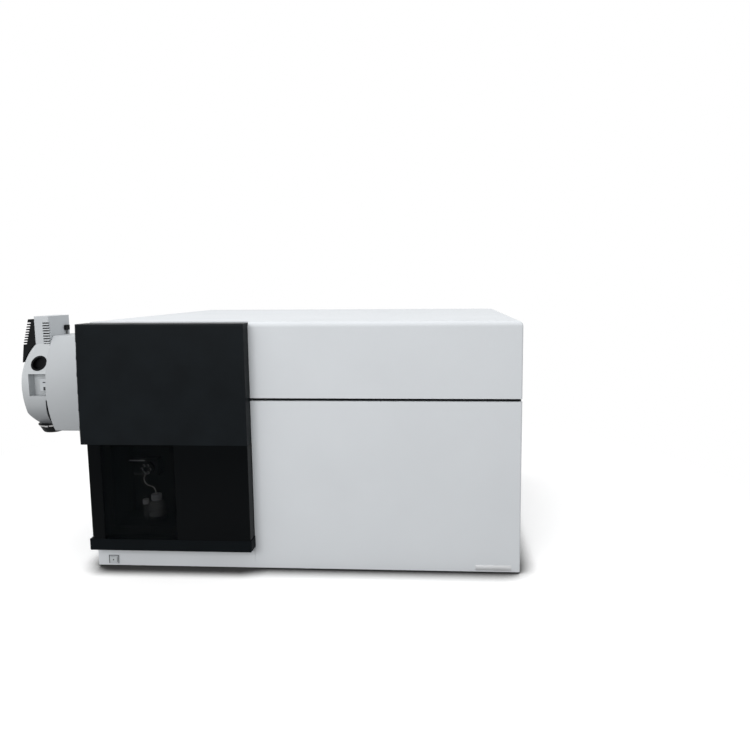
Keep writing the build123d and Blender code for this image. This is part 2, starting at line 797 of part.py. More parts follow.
def spray_chamber():
    outline = chamber_outline()
    body = front_extrude(outline, chamber_front, chamber_back)
    flat_from = (toe_x + chamber_right) / 2 - chamber_round
    rims = [
        edge
        for face_y in (chamber_front, chamber_back)
        for edge in body.edges().filter_by_position(Axis.Y, face_y, face_y)
        if edge.center().X < flat_from and edge.center().Z < chamber_top - clear
    ]
    body = fillet(rims, chamber_round)
    body -= belly_corner(-source_reach, chamber_right, belly_radius)
    inner = offset(outline, -chamber_wall)
    cavity = front_extrude(inner, chamber_front + chamber_wall, chamber_back - chamber_wall)
    cavity -= belly_corner(-source_reach, chamber_right, belly_radius - chamber_wall)
    pocket = block(latch_x0, latch_x1, chamber_front, chamber_front + latch_depth, latch_z0, latch_z1)
    pocket_wall = block(
        latch_x0 - chamber_wall, latch_x1 + chamber_wall, chamber_front,
        chamber_front + latch_depth + chamber_wall, latch_z0 - chamber_wall, latch_z1 + chamber_wall,
    )
    gutter_back = chamber_front + gutter_depth
    relief = block(gutter_x, chamber_right, chamber_front, gutter_back, chamber_bottom, gutter_top)
    relief_wall = block(
        gutter_x - chamber_wall, chamber_right, chamber_front, gutter_back + chamber_wall,
        chamber_bottom, gutter_top + chamber_wall,
    )
    body = body - (cavity - pocket_wall - relief_wall) - pocket - relief
    body -= rod_x(chamber_right - chamber_wall, chamber_right, axis_y, axis_z, cup_radius + clear)
    roof = chamber_top - chamber_wall
    body -= rod_z(nebulizer_x, nebulizer_y, roof, chamber_top, nebulizer_radius + clear)
    body -= port_form(port_rim, chamber_front, chamber_front + chamber_wall)
    knuckle_z0 = axis_z - knuckle_height / 2
    knuckle_z1 = axis_z + knuckle_height / 2
    body += block(
        hinge_x - hinge_radius, hinge_x + hinge_radius, chamber_back, hinge_y, knuckle_z0, knuckle_z1,
    )
    body += rod_z(hinge_x, hinge_y, knuckle_z0, knuckle_z1, hinge_radius)
    body -= rod_z(hinge_x, hinge_y, knuckle_z0, knuckle_z1, hinge_pin_radius + running_gap)
    pin_x = latch_x1 - 2 * latch_pin_radius
    pin_y = chamber_front + latch_depth / 2
    body += rod_z(pin_x, pin_y, latch_z0, latch_z1, latch_pin_radius)
    save("chamber_housing", body)

    middle = (latch_z0 + latch_z1) / 2
    half = lever_thickness / 2
    lever = block(
        pin_x - lever_length, pin_x + half, pin_y - half, pin_y + half,
        middle - lever_height / 2, middle + lever_height / 2,
    )
    lever = fillet(lever.edges().filter_by(Axis.Z), half - clear)
    lever -= rod_z(pin_x, pin_y, latch_z0, latch_z1, latch_pin_radius + running_gap)
    save("latch_lever", lever)

    cup_left = cup_right - cup_length
    cup = rod_x(cup_left, cup_right, axis_y, axis_z, cup_radius)
    cup -= rod_x(cup_left + cup_wall, cup_right, axis_y, axis_z, cup_radius - cup_wall)
    cup -= rod_z(nebulizer_x, nebulizer_y, axis_z, chamber_top, nebulizer_radius + clear)
    save("chamber_cup", cup)

    stem_top = hood_top - 2 * hood_wall
    knob_z = stem_top - hood_wall - nebulizer_head
    nebulizer = rod_z(nebulizer_x, nebulizer_y, nebulizer_tip_z, stem_top, nebulizer_radius)
    for z, height in ((chamber_top, nebulizer_radius), (knob_z, nebulizer_head)):
        nebulizer += rod_z(nebulizer_x, nebulizer_y, z, z + height, nebulizer_head)
    save("nebulizer", nebulizer)

    hood = block(hood_x0, hood_x1, chamber_front, hood_back, chamber_top, hood_top)
    hood = fillet(edges_at(hood, Axis.Z, x=hood_x1), corner_radius / 2)
    hood -= block(
        hood_x0 + hood_wall, hood_x1 - hood_wall, chamber_front + hood_wall, hood_back - hood_wall,
        chamber_top, hood_top - hood_wall,
    )
    for i in range(hood_slots):
        z = slot_top - i * slot_pitch
        hood -= block(
            hood_x1 - slot_length, hood_x1, chamber_front, chamber_front + 2 * hood_wall, z - slot_height, z,
        )
    save("sprayer_cover", hood)

    right = hood_x0 - clear
    corners = [
        (grille_x0, grille_top), (right, grille_top), (right, chamber_top - chamber_wall),
        (grille_seat, grille_flare_z), (grille_flare, grille_flare_z), (grille_waist, grille_waist_z),
    ]
    face = make_face(Plane.XZ * Polyline(*corners, close=True))
    grille = front_extrude(face, chamber_front, hood_back)
    grille -= front_extrude(offset(outline, clear), chamber_front, hood_back)
    lean = (grille_waist - grille_x0) / (grille_top - grille_waist_z)
    for i in range(hood_slots):
        z = slot_top - i * slot_pitch
        edge = grille_x0 + lean * (grille_top - z)
        grille -= block(
            edge - grille_slot_depth, edge + grille_slot_depth,
            chamber_front, hood_back - hood_wall, z - slot_height, z,
        )
    save("end_grille", grille)

    proud_y = chamber_front - port_proud
    port_back = chamber_front + port_depth
    plug = port_form(0, proud_y, chamber_front) + port_form(port_rim + clear, chamber_front, port_back)
    save("port_plug", plug - port_form(2 * port_rim, proud_y, port_back - port_rim))

    low = chamber_bottom - drain_depth
    drain = loft([
        Pos(drain_low_x, drain_y, low) * Circle(drain_low_radius),
        Pos(drain_x, drain_y, chamber_bottom) * Circle(drain_radius),
    ])
    drain = fillet(drain.edges().group_by(Axis.Z)[0], drain_round)
    gutter = block(
        gutter_x + clear, chamber_right, chamber_front + gutter_inset, gutter_back - clear,
        chamber_bottom, gutter_top - clear,
    )
    gutter -= belly_corner(gutter_x, chamber_right, belly_radius - gutter_inset)
    save("drain_cup", drain + gutter)

    half = connector_width / 2
    low = connector_z - connector_height / 2
    plug = block(
        hood_x1, hood_x1 + connector_reach, connector_y - half, connector_y + half,
        low, low + connector_height,
    )
    plug = fillet(plug.edges().filter_by(Axis.X), plug_round)
    boot_radius = connector_reach / 2
    plug += rod_z(hood_x1 + boot_radius, connector_y, low - boot_height, low, boot_radius - clear)
    save("heater_connector", plug)


# ---- vacuum system ----
def vacuum_system():
    x0 = manifold_x0
    x1 = manifold_x1
    wall = manifold_wall
    inner_front = manifold_front + wall
    inner_back = manifold_back - wall
    tank = block(x0, x1, manifold_front, manifold_back, manifold_low, manifold_high)
    tank -= block(x0 + wall, x1 - wall, inner_front, inner_back, manifold_low + wall, manifold_high)
    for x in divider_x:
        tank += block(
            x, x + divider_thickness, inner_front, inner_back, manifold_low + wall, manifold_high,
        )
        tank -= rod_x(x, x + divider_thickness, axis_y, axis_z, aperture_radius)
    tank -= rod_x(x0, x0 + wall, axis_y, axis_z, capillary_radius + clear)
    for x in pump_x:
        tank -= rod_z(x, axis_y, manifold_low, manifold_low + wall, pump_mouth)
    save("vacuum_manifold", tank)
    lid_top = manifold_high + lid_thickness
    save("manifold_lid", block(x0, x1, manifold_front, manifold_back, manifold_high, lid_top))

    half = holder_fit / 2

    def plate(start, stop):
        return block(start, stop, axis_y - half, axis_y + half, axis_z - half, axis_z + half)

    def funnel_bore(start, length):
        """A cone that is wide at the source's side and narrows to the ion beam."""
        place = Pos(start + length / 2, axis_y, axis_z) * Rot(0, 90, 0)
        return place * Cone(funnel_mouth, aperture_radius / 2, length)

    def rod_set(start, stop, count, radius, circle, hole):
        """Parallel rods about the ion axis, held in a square plate near each end."""
        rods = []
        for i in range(count):
            turn = 2 * pi * (i + 0.5) / count
            y = axis_y + circle * cos(turn)
            z = axis_z + circle * sin(turn)
            rods.append(rod_x(start, stop, y, z, radius))
        held = plate(start + holder_margin, start + holder_margin + holder_thickness)
        held += plate(stop - holder_margin - holder_thickness, stop - holder_margin)
        held -= rod_x(start, stop, axis_y, axis_z, hole)
        return held + rods

    first = divider_x[0]
    second = divider_x[1]
    inside = x0 + wall + 2 * clear
    stage = (first - 2 * clear - inside) / 2 - clear
    funnels = []
    for i in range(2):
        start = inside + i * (stage + clear)
        funnels.append(plate(start, start + stage) - funnel_bore(start, stage))
    guide_start = first + divider_thickness + clear
    guide_end = guide_start + guide_length
    guide = rod_set(guide_start, guide_end, guide_rods, guide_rod, guide_circle, guide_circle)
    save("ion_guides", *funnels, guide)
    detector_start = x1 - wall - detector_length
    quad_start = detector_start - quad_length
    quads = [
        rod_set(start, stop, quad_rods, quad_rod, quad_circle, quad_circle)
        for start, stop in ((guide_end + clear, second - clear), (quad_start, detector_start - clear))
    ]
    save("quadrupoles", *quads)
    cell_start = second + divider_thickness + clear
    cell_stop = quad_start - clear
    cell = chamfer(plate(cell_start, cell_stop).edges().filter_by(Axis.X), wall)
    save("collision_cell", cell - rod_x(cell_start, cell_stop, axis_y, axis_z, aperture_radius))
    detector = plate(detector_start, x1 - wall - clear)
    save("detector", detector - funnel_bore(detector_start, detector_length / 2))

    pump_low = manifold_low - pump_height
    housings = []
    for number, x in enumerate(pump_x, start=1):
        housing = rod_z(x, axis_y, pump_low, manifold_low, pump_radius)
        bearing_top = pump_low + bearing_height
        housing -= rod_z(x, axis_y, bearing_top, manifold_low - pump_wall, pump_radius - pump_wall)
        housing -= rod_z(x, axis_y, manifold_low - pump_wall, manifold_low, pump_mouth)
        housing -= rod_z(x, axis_y, pump_low + pump_wall, bearing_top, shaft_radius + running_gap)
        housings.append(housing)
        disc_z = bearing_top + shaft_radius
        top = disc_z + (rotor_discs - 1) * rotor_disc_pitch + rotor_disc_height
        rotor = rod_z(x, axis_y, pump_low + pump_wall + clear, top, shaft_radius)
        for i in range(rotor_discs):
            z = disc_z + i * rotor_disc_pitch
            rotor += rod_z(x, axis_y, z, z + rotor_disc_height, rotor_radius)
        save(f"turbo_rotor_{number}", rotor)
    save("turbo_housings", *housings)

    start_y = axis_y + pump_radius
    stop_y = inner_rear - exhaust_flange_thickness

    far = (pump_x[1], start_y, pipe_z)
    route = FilletPolyline(
        far, (pump_x[1], branch_y, pipe_z), (pump_x[0], branch_y, pipe_z), radius=pipe_bend,
    )

    def pipework(radius):
        branch = sweep(Plane(origin=far, z_dir=(0, 1, 0)) * Circle(radius), route)
        return branch + rod_y(pump_x[0], start_y, stop_y, pipe_z, radius)

    save("foreline_pipe", pipework(pipe_radius) - pipework(pipe_bore))

    shoulder_y = body_depth + exhaust_shoulder_proud
    port = rod_y(pump_x[0], shoulder_y, rear_y, pipe_z, hose_radius)
    port = chamfer(port.edges().group_by(Axis.Y)[-1], hose_chamfer)
    port += rod_y(pump_x[0], inner_rear, shoulder_y, pipe_z, exhaust_shoulder)
    port += rod_y(pump_x[0], stop_y, inner_rear, pipe_z, exhaust_flange)
    save("exhaust_port", port - rod_y(pump_x[0], stop_y, rear_y, pipe_z, pipe_bore))


# ---- electronics, fans and rear fittings ----
def electronics():
    width, depth, height = supply_size
    supply = block(
        supply_x, supply_x + width, supply_y, supply_y + depth, tray_floor, tray_floor + height,
    )
    save("power_supply", fillet(supply.edges().filter_by(Axis.Z), corner_radius))
    width, depth, height = module_size
    modules = []
    for i in range(module_count):
        x = module_x0 + i * module_pitch
        box = block(x, x + width, module_y, module_y + depth, tray_floor, tray_floor + height)
        modules.append(fillet(box.edges().filter_by(Axis.Z), corner_radius))
    save("rf_modules", *modules)

    back = inner_rear - standoff_length
    face = back - board_thickness
    board = block(board_x0, board_x0 + board_width, face, back, board_z0, board_z0 + board_height)
    for column in range(chip_count):
        for row in range(chip_count):
            x = board_x0 + chip_inset + column * chip_pitch
            z = board_z0 + chip_inset / 2 + row * chip_pitch
            board += block(x, x + chip_size, face - chip_height, face, z, z + chip_size)
    inset = 2 * standoff_radius
    posts = [
        rod_y(x, back, inner_rear, z, standoff_radius)
        for x in (board_x0 + inset, board_x0 + board_width - inset)
        for z in (board_z0 + inset, board_z0 + board_height - inset)
    ]
    save("main_board", board + posts)


def fans():
    frames = []
    guards = []
    half = fan_size / 2
    spoke_reach = (half + fan_bore) / 2
    front = inner_rear - fan_depth
    for number, x in enumerate(fan_x, start=1):
        frame = block(x - half, x + half, front, inner_rear, fan_z - half, fan_z + half)
        frame = fillet(frame.edges().filter_by(Axis.Y), corner_radius)
        frame -= rod_y(x, front, inner_rear, fan_z, fan_bore)
        spoke_back = front + hub_plate
        for i in range(spoke_count):
            turn = Pos(x, (front + spoke_back) / 2, fan_z) * Rot(0, 360 * i / spoke_count, 0)
            frame += turn * Pos(spoke_reach / 2, 0, 0) * Box(spoke_reach, hub_plate, spoke_width)
        frame += rod_y(x, front, spoke_back, fan_z, fan_hub)
        frame += rod_y(x, spoke_back, inner_rear - hub_plate, fan_z, fan_pin_radius)
        frames.append(frame)

        rotor_depth = fan_depth - 2 * hub_plate - 2 * clear
        rotor = Cylinder(fan_hub, rotor_depth)
        blade_length = blade_reach - fan_hub + blade_root
        for i in range(fan_blades):
            turn = Rot(0, 0, 360 * i / fan_blades)
            place = turn * Pos(blade_reach - blade_length / 2, 0, 0) * Rot(90 - blade_angle, 0, 0)
            rotor += place * Box(blade_length, rotor_depth, blade_thickness)
        rotor -= Cylinder(fan_pin_radius + running_gap, fan_depth)
        middle = spoke_back + clear + rotor_depth / 2
        save(f"fan_rotor_{number}", Pos(x, middle, fan_z) * Rot(90, 0, 0) * rotor)

        guard_back = body_depth + guard_thickness
        guard = Pos(x, body_depth + guard_thickness / 2, fan_z) * (
            Box(2 * fan_bore, guard_thickness, guard_bar) + Box(guard_bar, guard_thickness, 2 * fan_bore)
        )
        for i in range(guard_rings):
            outer = fan_bore + guard_bar - i * fan_bore / guard_rings
            ring = rod_y(x, body_depth, guard_back, fan_z, outer)
            guard += ring - rod_y(x, body_depth, guard_back, fan_z, outer - guard_bar)
        guards.append(guard)
    save("fan_frames", *frames)
    save("fan_guards", *guards)


def rear_fittings():
    half_x = inlet_width / 2
    half_z = inlet_height / 2
    inner = body_depth - inlet_depth
    wall = inlet_wall
    inlet = block(
        inlet_x - half_x + clear, inlet_x + half_x - clear, inner, body_depth,
        inlet_z - half_z + clear, inlet_z + half_z - clear,
    )
    inlet += block(
        inlet_x - half_x - wall, inlet_x + half_x + wall, body_depth, body_depth + wall,
        inlet_z - half_z - wall, inlet_z + half_z + wall,
    )
    inlet -= block(
        inlet_x - half_x + wall, inlet_x + half_x - wall, inner + wall, body_depth + wall,
        inlet_z - half_z + wall, inlet_z + half_z - wall,
    )
    save("power_inlet", inlet)

    half = jack_size / 2
    jack_face = body_depth + jack_proud
    jack = block(
        jack_x - half + clear, jack_x + half - clear, body_depth - jack_depth, jack_face,
        port_row_z - half + clear, port_row_z + half - clear,
    )
    jack -= block(
        jack_x - half + jack_wall, jack_x + half - jack_wall,
        body_depth - jack_depth + jack_wall, jack_face,
        port_row_z - half + jack_wall, port_row_z + half - jack_wall,
    )
    ports = []
    for x in serial_x:
        shell = block(
            x - serial_width / 2, x + serial_width / 2, body_depth, body_depth + serial_reach,
            port_row_z - serial_height / 2, port_row_z + serial_height / 2,
        )
        ports.append(chamfer(edges_at(shell, Axis.Y, z=port_row_z - serial_height / 2), serial_height / 4))
    save("rear_connectors", jack, *ports)

    fittings = []
    for x in gas_x:
        middle = body_depth + gas_reach / 2
        hexagon = Pos(x, 0, gas_z) * (Plane.XZ * RegularPolygon(gas_hex, 6))
        nut = front_extrude(hexagon, body_depth, middle)
        fittings.append(nut + rod_y(x, middle, body_depth + gas_reach, gas_z, gas_radius))
    save("gas_fittings", *fittings)


chassis()
front_covers()
outer_covers()
calibrant_bay()
power_switch()
fixed_source()
spray_chamber()
vacuum_system()
electronics()
fans()
rear_fittings()
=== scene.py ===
from math import cos, pi, radians, sin

import bmesh
import bpy
from mathutils import Matrix, Vector


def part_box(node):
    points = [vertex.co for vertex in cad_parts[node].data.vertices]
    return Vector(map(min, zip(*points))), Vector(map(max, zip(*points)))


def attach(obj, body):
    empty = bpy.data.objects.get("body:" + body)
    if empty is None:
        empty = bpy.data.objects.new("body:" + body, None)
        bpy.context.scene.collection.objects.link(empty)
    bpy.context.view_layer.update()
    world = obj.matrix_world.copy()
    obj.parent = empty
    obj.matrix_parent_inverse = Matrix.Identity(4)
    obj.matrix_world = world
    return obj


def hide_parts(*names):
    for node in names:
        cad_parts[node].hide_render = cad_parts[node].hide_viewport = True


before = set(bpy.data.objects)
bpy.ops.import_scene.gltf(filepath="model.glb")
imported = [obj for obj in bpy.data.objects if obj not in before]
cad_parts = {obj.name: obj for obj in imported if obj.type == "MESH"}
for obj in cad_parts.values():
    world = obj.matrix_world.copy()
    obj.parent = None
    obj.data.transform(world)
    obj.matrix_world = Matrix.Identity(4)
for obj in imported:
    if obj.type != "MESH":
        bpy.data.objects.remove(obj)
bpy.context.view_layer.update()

# ---- Chassis tray, bulkhead and rear panel ----
# Folded from zinc-plated steel sheet and spot welded. The tray carries the pumps and the supply,
# the bulkhead stands behind the front covers, and the rear panel carries fans and sockets.


def new_finish(name, colour, roughness, metallic=0.0, specular=0.5):
    """A finish whose constants sit on the shader's own sockets."""
    material = bpy.data.materials.new(name)
    material.use_nodes = True
    shader = material.node_tree.nodes["Principled BSDF"]
    shader.inputs["Base Color"].default_value = (*colour, 1)
    shader.inputs["Roughness"].default_value = roughness
    shader.inputs["Metallic"].default_value = metallic
    shader.inputs["Specular IOR Level"].default_value = specular
    return material, shader


def add_node(owner, kind, inputs=None, **settings):
    """One node of a material or a tree; each input is a constant or another node's output."""
    tree = getattr(owner, "node_tree", owner)
    node = tree.nodes.new(kind)
    for setting, value in settings.items():
        setattr(node, setting, value)
    for socket, value in (inputs or {}).items():
        if isinstance(value, bpy.types.NodeSocket):
            tree.links.new(value, node.inputs[socket])
        else:
            node.inputs[socket].default_value = value
    return node


def object_place(material, centre=(0, 0, 0), stretch=(1, 1, 1)):
    """Object coordinates in metres, measured from a centre and stretched."""
    place = add_node(material, "ShaderNodeTexCoord").outputs["Object"]
    moved = add_node(material, "ShaderNodeVectorMath", {0: place, 1: centre}, operation="SUBTRACT")
    scaled = add_node(material, "ShaderNodeVectorMath", {0: moved.outputs[0], 1: stretch},
                      operation="MULTIPLY")
    return scaled.outputs[0]


def grain(material, place, per_metre, detail=2.0):
    """Noise with so many grains to the metre."""
    noise = add_node(material, "ShaderNodeTexNoise",
                     {"Vector": place, "Scale": per_metre, "Detail": detail})
    return noise.outputs["Fac"]


def between(material, value, low, high, start=0.3, stop=0.7):
    """Spread a texture's value over a range."""
    spread = add_node(material, "ShaderNodeMapRange", {
        "Value": value, "From Min": start, "From Max": stop, "To Min": low, "To Max": high,
    })
    return spread.outputs[0]


def blend_colours(material, share, first, second):
    """Mix two colours by a texture's value."""
    mixed = add_node(material, "ShaderNodeMix", {0: share, 6: (*first, 1), 7: (*second, 1)},
                     data_type="RGBA")
    return mixed.outputs[2]


def raise_surface(material, shader, height, depth):
    """Bump a finish by a texture, to a depth in metres."""
    bump = add_node(material, "ShaderNodeBump",
                    {"Height": height, "Distance": depth, "Strength": 1.0})
    material.node_tree.links.new(bump.outputs[0], shader.inputs["Normal"])


def feed(material, output, shader, socket):
    """Let a texture drive one of the shader's sockets."""
    material.node_tree.links.new(output, shader.inputs[socket])


def grained_gloss(material, shader, per_metre, low, high, stretch=(1, 1, 1), detail=2.0):
    """Vary the roughness by a fine grain, and give that grain back."""
    fine = grain(material, object_place(material, stretch=stretch), per_metre, detail)
    feed(material, between(material, fine, low, high), shader, "Roughness")
    return fine


def dress(material, *names):
    """Give CAD nodes a finish."""
    for name in names:
        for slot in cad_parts[name].material_slots:
            slot.material = material


ZINC_DARK, ZINC, ZINC_LIGHT = (0.47, 0.48, 0.49), (0.52, 0.53, 0.54), (0.56, 0.57, 0.58)
SPANGLES_PER_METRE = 70.0

zinc, shader = new_finish("zinc_plate", ZINC, 0.42, metallic=1.0)
spangle = add_node(zinc, "ShaderNodeTexVoronoi",
                   {"Vector": object_place(zinc), "Scale": SPANGLES_PER_METRE}).outputs["Color"]
feed(zinc, blend_colours(zinc, between(zinc, spangle, 0, 1, 0, 1), ZINC_DARK, ZINC_LIGHT), shader, "Base Color")
rolling = grained_gloss(zinc, shader, 30.0, 0.34, 0.5, stretch=(1, 1, 40))
raise_surface(zinc, shader, rolling, 0.00003)
dress(zinc, "chassis", "rear_panel", "power_supply", "rf_modules")

# ---- Rear screws ----
# Pan-head steel screws with a cross recess hold the rear panel to the chassis. Each stopped at its
# own turn when it was driven home.


def add_turned(bm, outline, origin, direction, segments=32):
    """Add a closed body turned from (radius, distance) points about a line."""
    facing = Vector(direction).to_track_quat("Z", "Y").to_matrix().to_4x4()
    frame_of_line = Matrix.Translation(origin) @ facing
    rings = []
    for radius, distance in outline:
        corners = 1 if radius == 0 else segments
        rings.append([
            bm.verts.new(frame_of_line @ Vector((radius * cos(2 * pi * i / segments),
                                                 radius * sin(2 * pi * i / segments), distance)))
            for i in range(corners)
        ])
    for near, far in zip(rings, rings[1:]):
        for i in range(segments):
            after = i + 1
            corners = [near[i % len(near)], near[after % len(near)], far[after % len(far)], far[i % len(far)]]
            corners = list(dict.fromkeys(corners))
            if len(corners) > 2:
                bm.faces.new(corners)


def add_prism(bm, outline, low_y, high_y):
    """Add a closed solid between two Y places from a ring of (x, z) points."""
    rings = [[bm.verts.new((x, y, z)) for x, z in outline] for y in (low_y, high_y)]
    for i, (near, far) in enumerate(zip(*rings)):
        after = (i + 1) % len(outline)
        bm.faces.new((near, rings[0][after], rings[1][after], far))
    for ring in rings:
        bm.faces.new(ring)


SHARP_EDGE = 35


def smoothed(mesh):
    """Smooth a mesh between its sharp edges."""
    mesh.polygons.foreach_set("use_smooth", [True] * len(mesh.polygons))
    mesh.set_sharp_from_angle(angle=radians(SHARP_EDGE))
    return mesh


def finished(name, bm, *materials):
    """Close the mesh, point its faces outwards and smooth it between its sharp edges."""
    bmesh.ops.remove_doubles(bm, verts=bm.verts, dist=1e-7)
    bmesh.ops.recalc_face_normals(bm, faces=bm.faces)
    mesh = bpy.data.meshes.new(name)
    bm.to_mesh(mesh)
    bm.free()
    for material in materials:
        mesh.materials.append(material)
    return smoothed(mesh)


def seat(name, mesh, body, *replaced):
    """Hang a mesh on a body, in place of any CAD nodes it stands for."""
    piece = bpy.data.objects.new(name, mesh)
    bpy.context.scene.collection.objects.link(piece)
    if replaced:
        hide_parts(*replaced)
    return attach(piece, body)


def solid_boxes(name):
    """The low and high corners of each separate solid of a node, from left to right."""
    bm = bmesh.new()
    bm.from_mesh(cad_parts[name].data)
    bmesh.ops.remove_doubles(bm, verts=bm.verts, dist=1e-6)
    left = set(bm.verts)
    boxes = []
    while left:
        found = {left.pop()}
        edge_of_search = list(found)
        while edge_of_search:
            vertex = edge_of_search.pop()
            for edge in vertex.link_edges:
                other = edge.other_vert(vertex)
                if other in left:
                    left.discard(other)
                    found.add(other)
                    edge_of_search.append(other)
        places = [vertex.co for vertex in found]
        low = Vector([min(place[i] for place in places) for i in range(3)])
        high = Vector([max(place[i] for place in places) for i in range(3)])
        boxes.append((low, high))
    bm.free()
    return sorted(boxes, key=lambda box: (round(box[0].x, 4), box[0].z))


def plain_mesh(holder):
    """What an object's modifiers make of it, as a mesh of its own."""
    bpy.context.view_layer.update()
    return bpy.data.meshes.new_from_object(holder.evaluated_get(bpy.context.evaluated_depsgraph_get()))


def cut_away(mesh, cutter):
    """Take one mesh out of another."""
    holder = bpy.data.objects.new("cut", mesh)
    tool = bpy.data.objects.new("cutter", cutter)
    for thing in (holder, tool):
        bpy.context.scene.collection.objects.link(thing)
    boolean = holder.modifiers.new("cut", "BOOLEAN")
    boolean.operation = "DIFFERENCE"
    boolean.solver = "EXACT"
    boolean.object = tool
    result = plain_mesh(holder)
    for thing in (holder, tool):
        bpy.data.objects.remove(thing)
    result.set_sharp_from_angle(angle=radians(SHARP_EDGE))
    return result


SOCKETS = {"geometry": "NodeSocketGeometry", "object": "NodeSocketObject", "material": "NodeSocketMaterial",
           "size": "NodeSocketFloat", "count": "NodeSocketInt", "place": "NodeSocketVector"}


def new_tree(name, **inputs):
    """An empty Geometry Nodes tree with named inputs; gives the tree and its two end nodes."""
    tree = bpy.data.node_groups.new(name, "GeometryNodeTree")
    for label, kind in inputs.items():
        tree.interface.new_socket(label, in_out="INPUT", socket_type=SOCKETS[kind])
    tree.interface.new_socket("made", in_out="OUTPUT", socket_type=SOCKETS["geometry"])
    return tree, add_node(tree, "NodeGroupInput").outputs, add_node(tree, "NodeGroupOutput").inputs["made"]


def deliver(tree, geometry, finish, made):
    """End a tree with real geometry in its finish."""
    real = add_node(tree, "GeometryNodeRealizeInstances", {"Geometry": geometry}).outputs[0]
    painted = add_node(tree, "GeometryNodeSetMaterial", {"Geometry": real, "Material": finish}).outputs[0]
    tree.links.new(painted, made)


def grow(name, tree, places, **values):
    """Run a tree on a mesh of points and keep the result as a plain mesh."""
    points = bpy.data.meshes.new(name)
    points.from_pydata([tuple(place) for place in places], [], [])
    holder = bpy.data.objects.new(name, points)
    bpy.context.scene.collection.objects.link(holder)
    modifier = holder.modifiers.new(name, "NODES")
    modifier.node_group = tree
    for socket in tree.interface.items_tree:
        if socket.name in values:
            modifier[socket.identifier] = values[socket.name]
    mesh = plain_mesh(holder)
    holder.modifiers.remove(modifier)
    bpy.data.objects.remove(holder)
    mesh.name = name
    mesh.materials.clear()
    mesh.materials.append(values["finish"])
    return smoothed(mesh)


def pattern(name, mesh):
    """A shape that a tree repeats; it isn't shown itself."""
    return bpy.data.objects.new(name, mesh)


copies, given, made = new_tree("copies_on_points", places="geometry", shape="object", turn="size",
                               seed="count", finish="material")
shape = add_node(copies, "GeometryNodeObjectInfo", {"Object": given["shape"]}).outputs["Geometry"]
chance = add_node(copies, "FunctionNodeRandomValue", {2: 0.0, 3: given["turn"], 8: given["seed"]},
                  data_type="FLOAT")
turned = add_node(copies, "ShaderNodeCombineXYZ", {"Y": chance.outputs[1]}).outputs[0]
placed = add_node(copies, "GeometryNodeInstanceOnPoints", {
    "Points": given["places"], "Instance": shape, "Rotation": turned,
}).outputs[0]
deliver(copies, placed, given["finish"], made)

SCREW_RADIUS = 0.0045
SCREW_HEIGHT = 0.0024
RECESS_LENGTH = 0.0046
RECESS_WIDTH = 0.0009
RECESS_DEPTH = 0.0014


def screw_head(radius, height):
    """A pan head with a cross recess, its seat at Y = 0."""
    bm = bmesh.new()
    add_turned(bm, [
        (0, 0), (radius, 0), (radius, 0.35 * height), (0.94 * radius, 0.62 * height),
        (0.78 * radius, 0.86 * height), (0.5 * radius, 0.97 * height), (0, height),
    ], (0, 0, 0), (0, 1, 0))
    head = finished("screw_head", bm)
    reach, half = RECESS_LENGTH / 2, RECESS_WIDTH / 2
    arm = [(reach, -half), (reach, half), (half, half)]
    cross = []
    for _ in range(4):
        cross += arm
        arm = [(-z, x) for x, z in arm]
    bm = bmesh.new()
    add_prism(bm, cross, height - RECESS_DEPTH, 2 * height)
    return cut_away(head, finished("recess", bm))


screw_steel, shader = new_finish("screw_steel", (0.6, 0.6, 0.59), 0.28, metallic=1.0)
raise_surface(screw_steel, shader, grained_gloss(screw_steel, shader, 900.0, 0.2, 0.45), 0.00002)

screw_places = [((low + high) / 2, high.y) for low, high in solid_boxes("rear_screws")]
screw_seats = [(heart.x, outer_y - SCREW_HEIGHT, heart.z) for heart, outer_y in screw_places]
seat("rear_screw_heads", grow("rear_screw_heads", copies, screw_seats,
                              shape=pattern("pan_head", screw_head(SCREW_RADIUS, SCREW_HEIGHT)),
                              turn=2 * pi, seed=4, finish=screw_steel), "cabinet", "rear_screws")

# ---- Feet ----
# Nitrile rubber pads, moulded with a stem that is pushed into the tray. They are dull and hold a
# little dust.

rubber, shader = new_finish("moulded_rubber", (0.02, 0.02, 0.021), 0.85, specular=0.3)
dust = grain(rubber, object_place(rubber), 160.0, 4.0)
feed(rubber, blend_colours(rubber, between(rubber, dust, 0, 1), (0.015, 0.015, 0.016), (0.03, 0.03, 0.03)),
     shader, "Base Color")
raise_surface(rubber, shader, dust, 0.0001)
dress(rubber, "feet", "source_seal")

# ---- Vacuum manifold, lid, collision cell and source flange ----
# Machined from aluminium plate and lightly anodised, so the cutter's fine marks still show. The
# flange is turned and bolted to the manifold's front end.

aluminium, shader = new_finish("machined_aluminium", (0.66, 0.67, 0.68), 0.36, metallic=1.0)
cutter = grained_gloss(aluminium, shader, 20.0, 0.28, 0.44, stretch=(3, 60, 60))
raise_surface(aluminium, shader, cutter, 0.00002)
dress(aluminium, "vacuum_manifold", "manifold_lid", "collision_cell", "turbo_rotor_1", "turbo_rotor_2")

RINGS_PER_METRE = 2500.0


def turned_metal(name, colour, roughness, centre, axis):
    """Lathe-turned metal: fine rings about its axis in the bump and the roughness."""
    material, shader = new_finish(name, colour, roughness, metallic=1.0)
    flat = [0 if direction == axis else 1 for direction in "XYZ"]
    place = object_place(material, centre=centre, stretch=flat)
    radius = add_node(material, "ShaderNodeVectorMath", {0: place}, operation="LENGTH").outputs["Value"]
    rings = add_node(material, "ShaderNodeTexNoise", {"W": radius, "Scale": RINGS_PER_METRE, "Detail": 1.0},
                     noise_dimensions="1D").outputs["Fac"]
    feed(material, between(material, rings, roughness - 0.08, roughness + 0.08), shader, "Roughness")
    raise_surface(material, shader, rings, 0.00001)
    return material


def middle(name):
    low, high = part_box(name)
    return (low + high) / 2


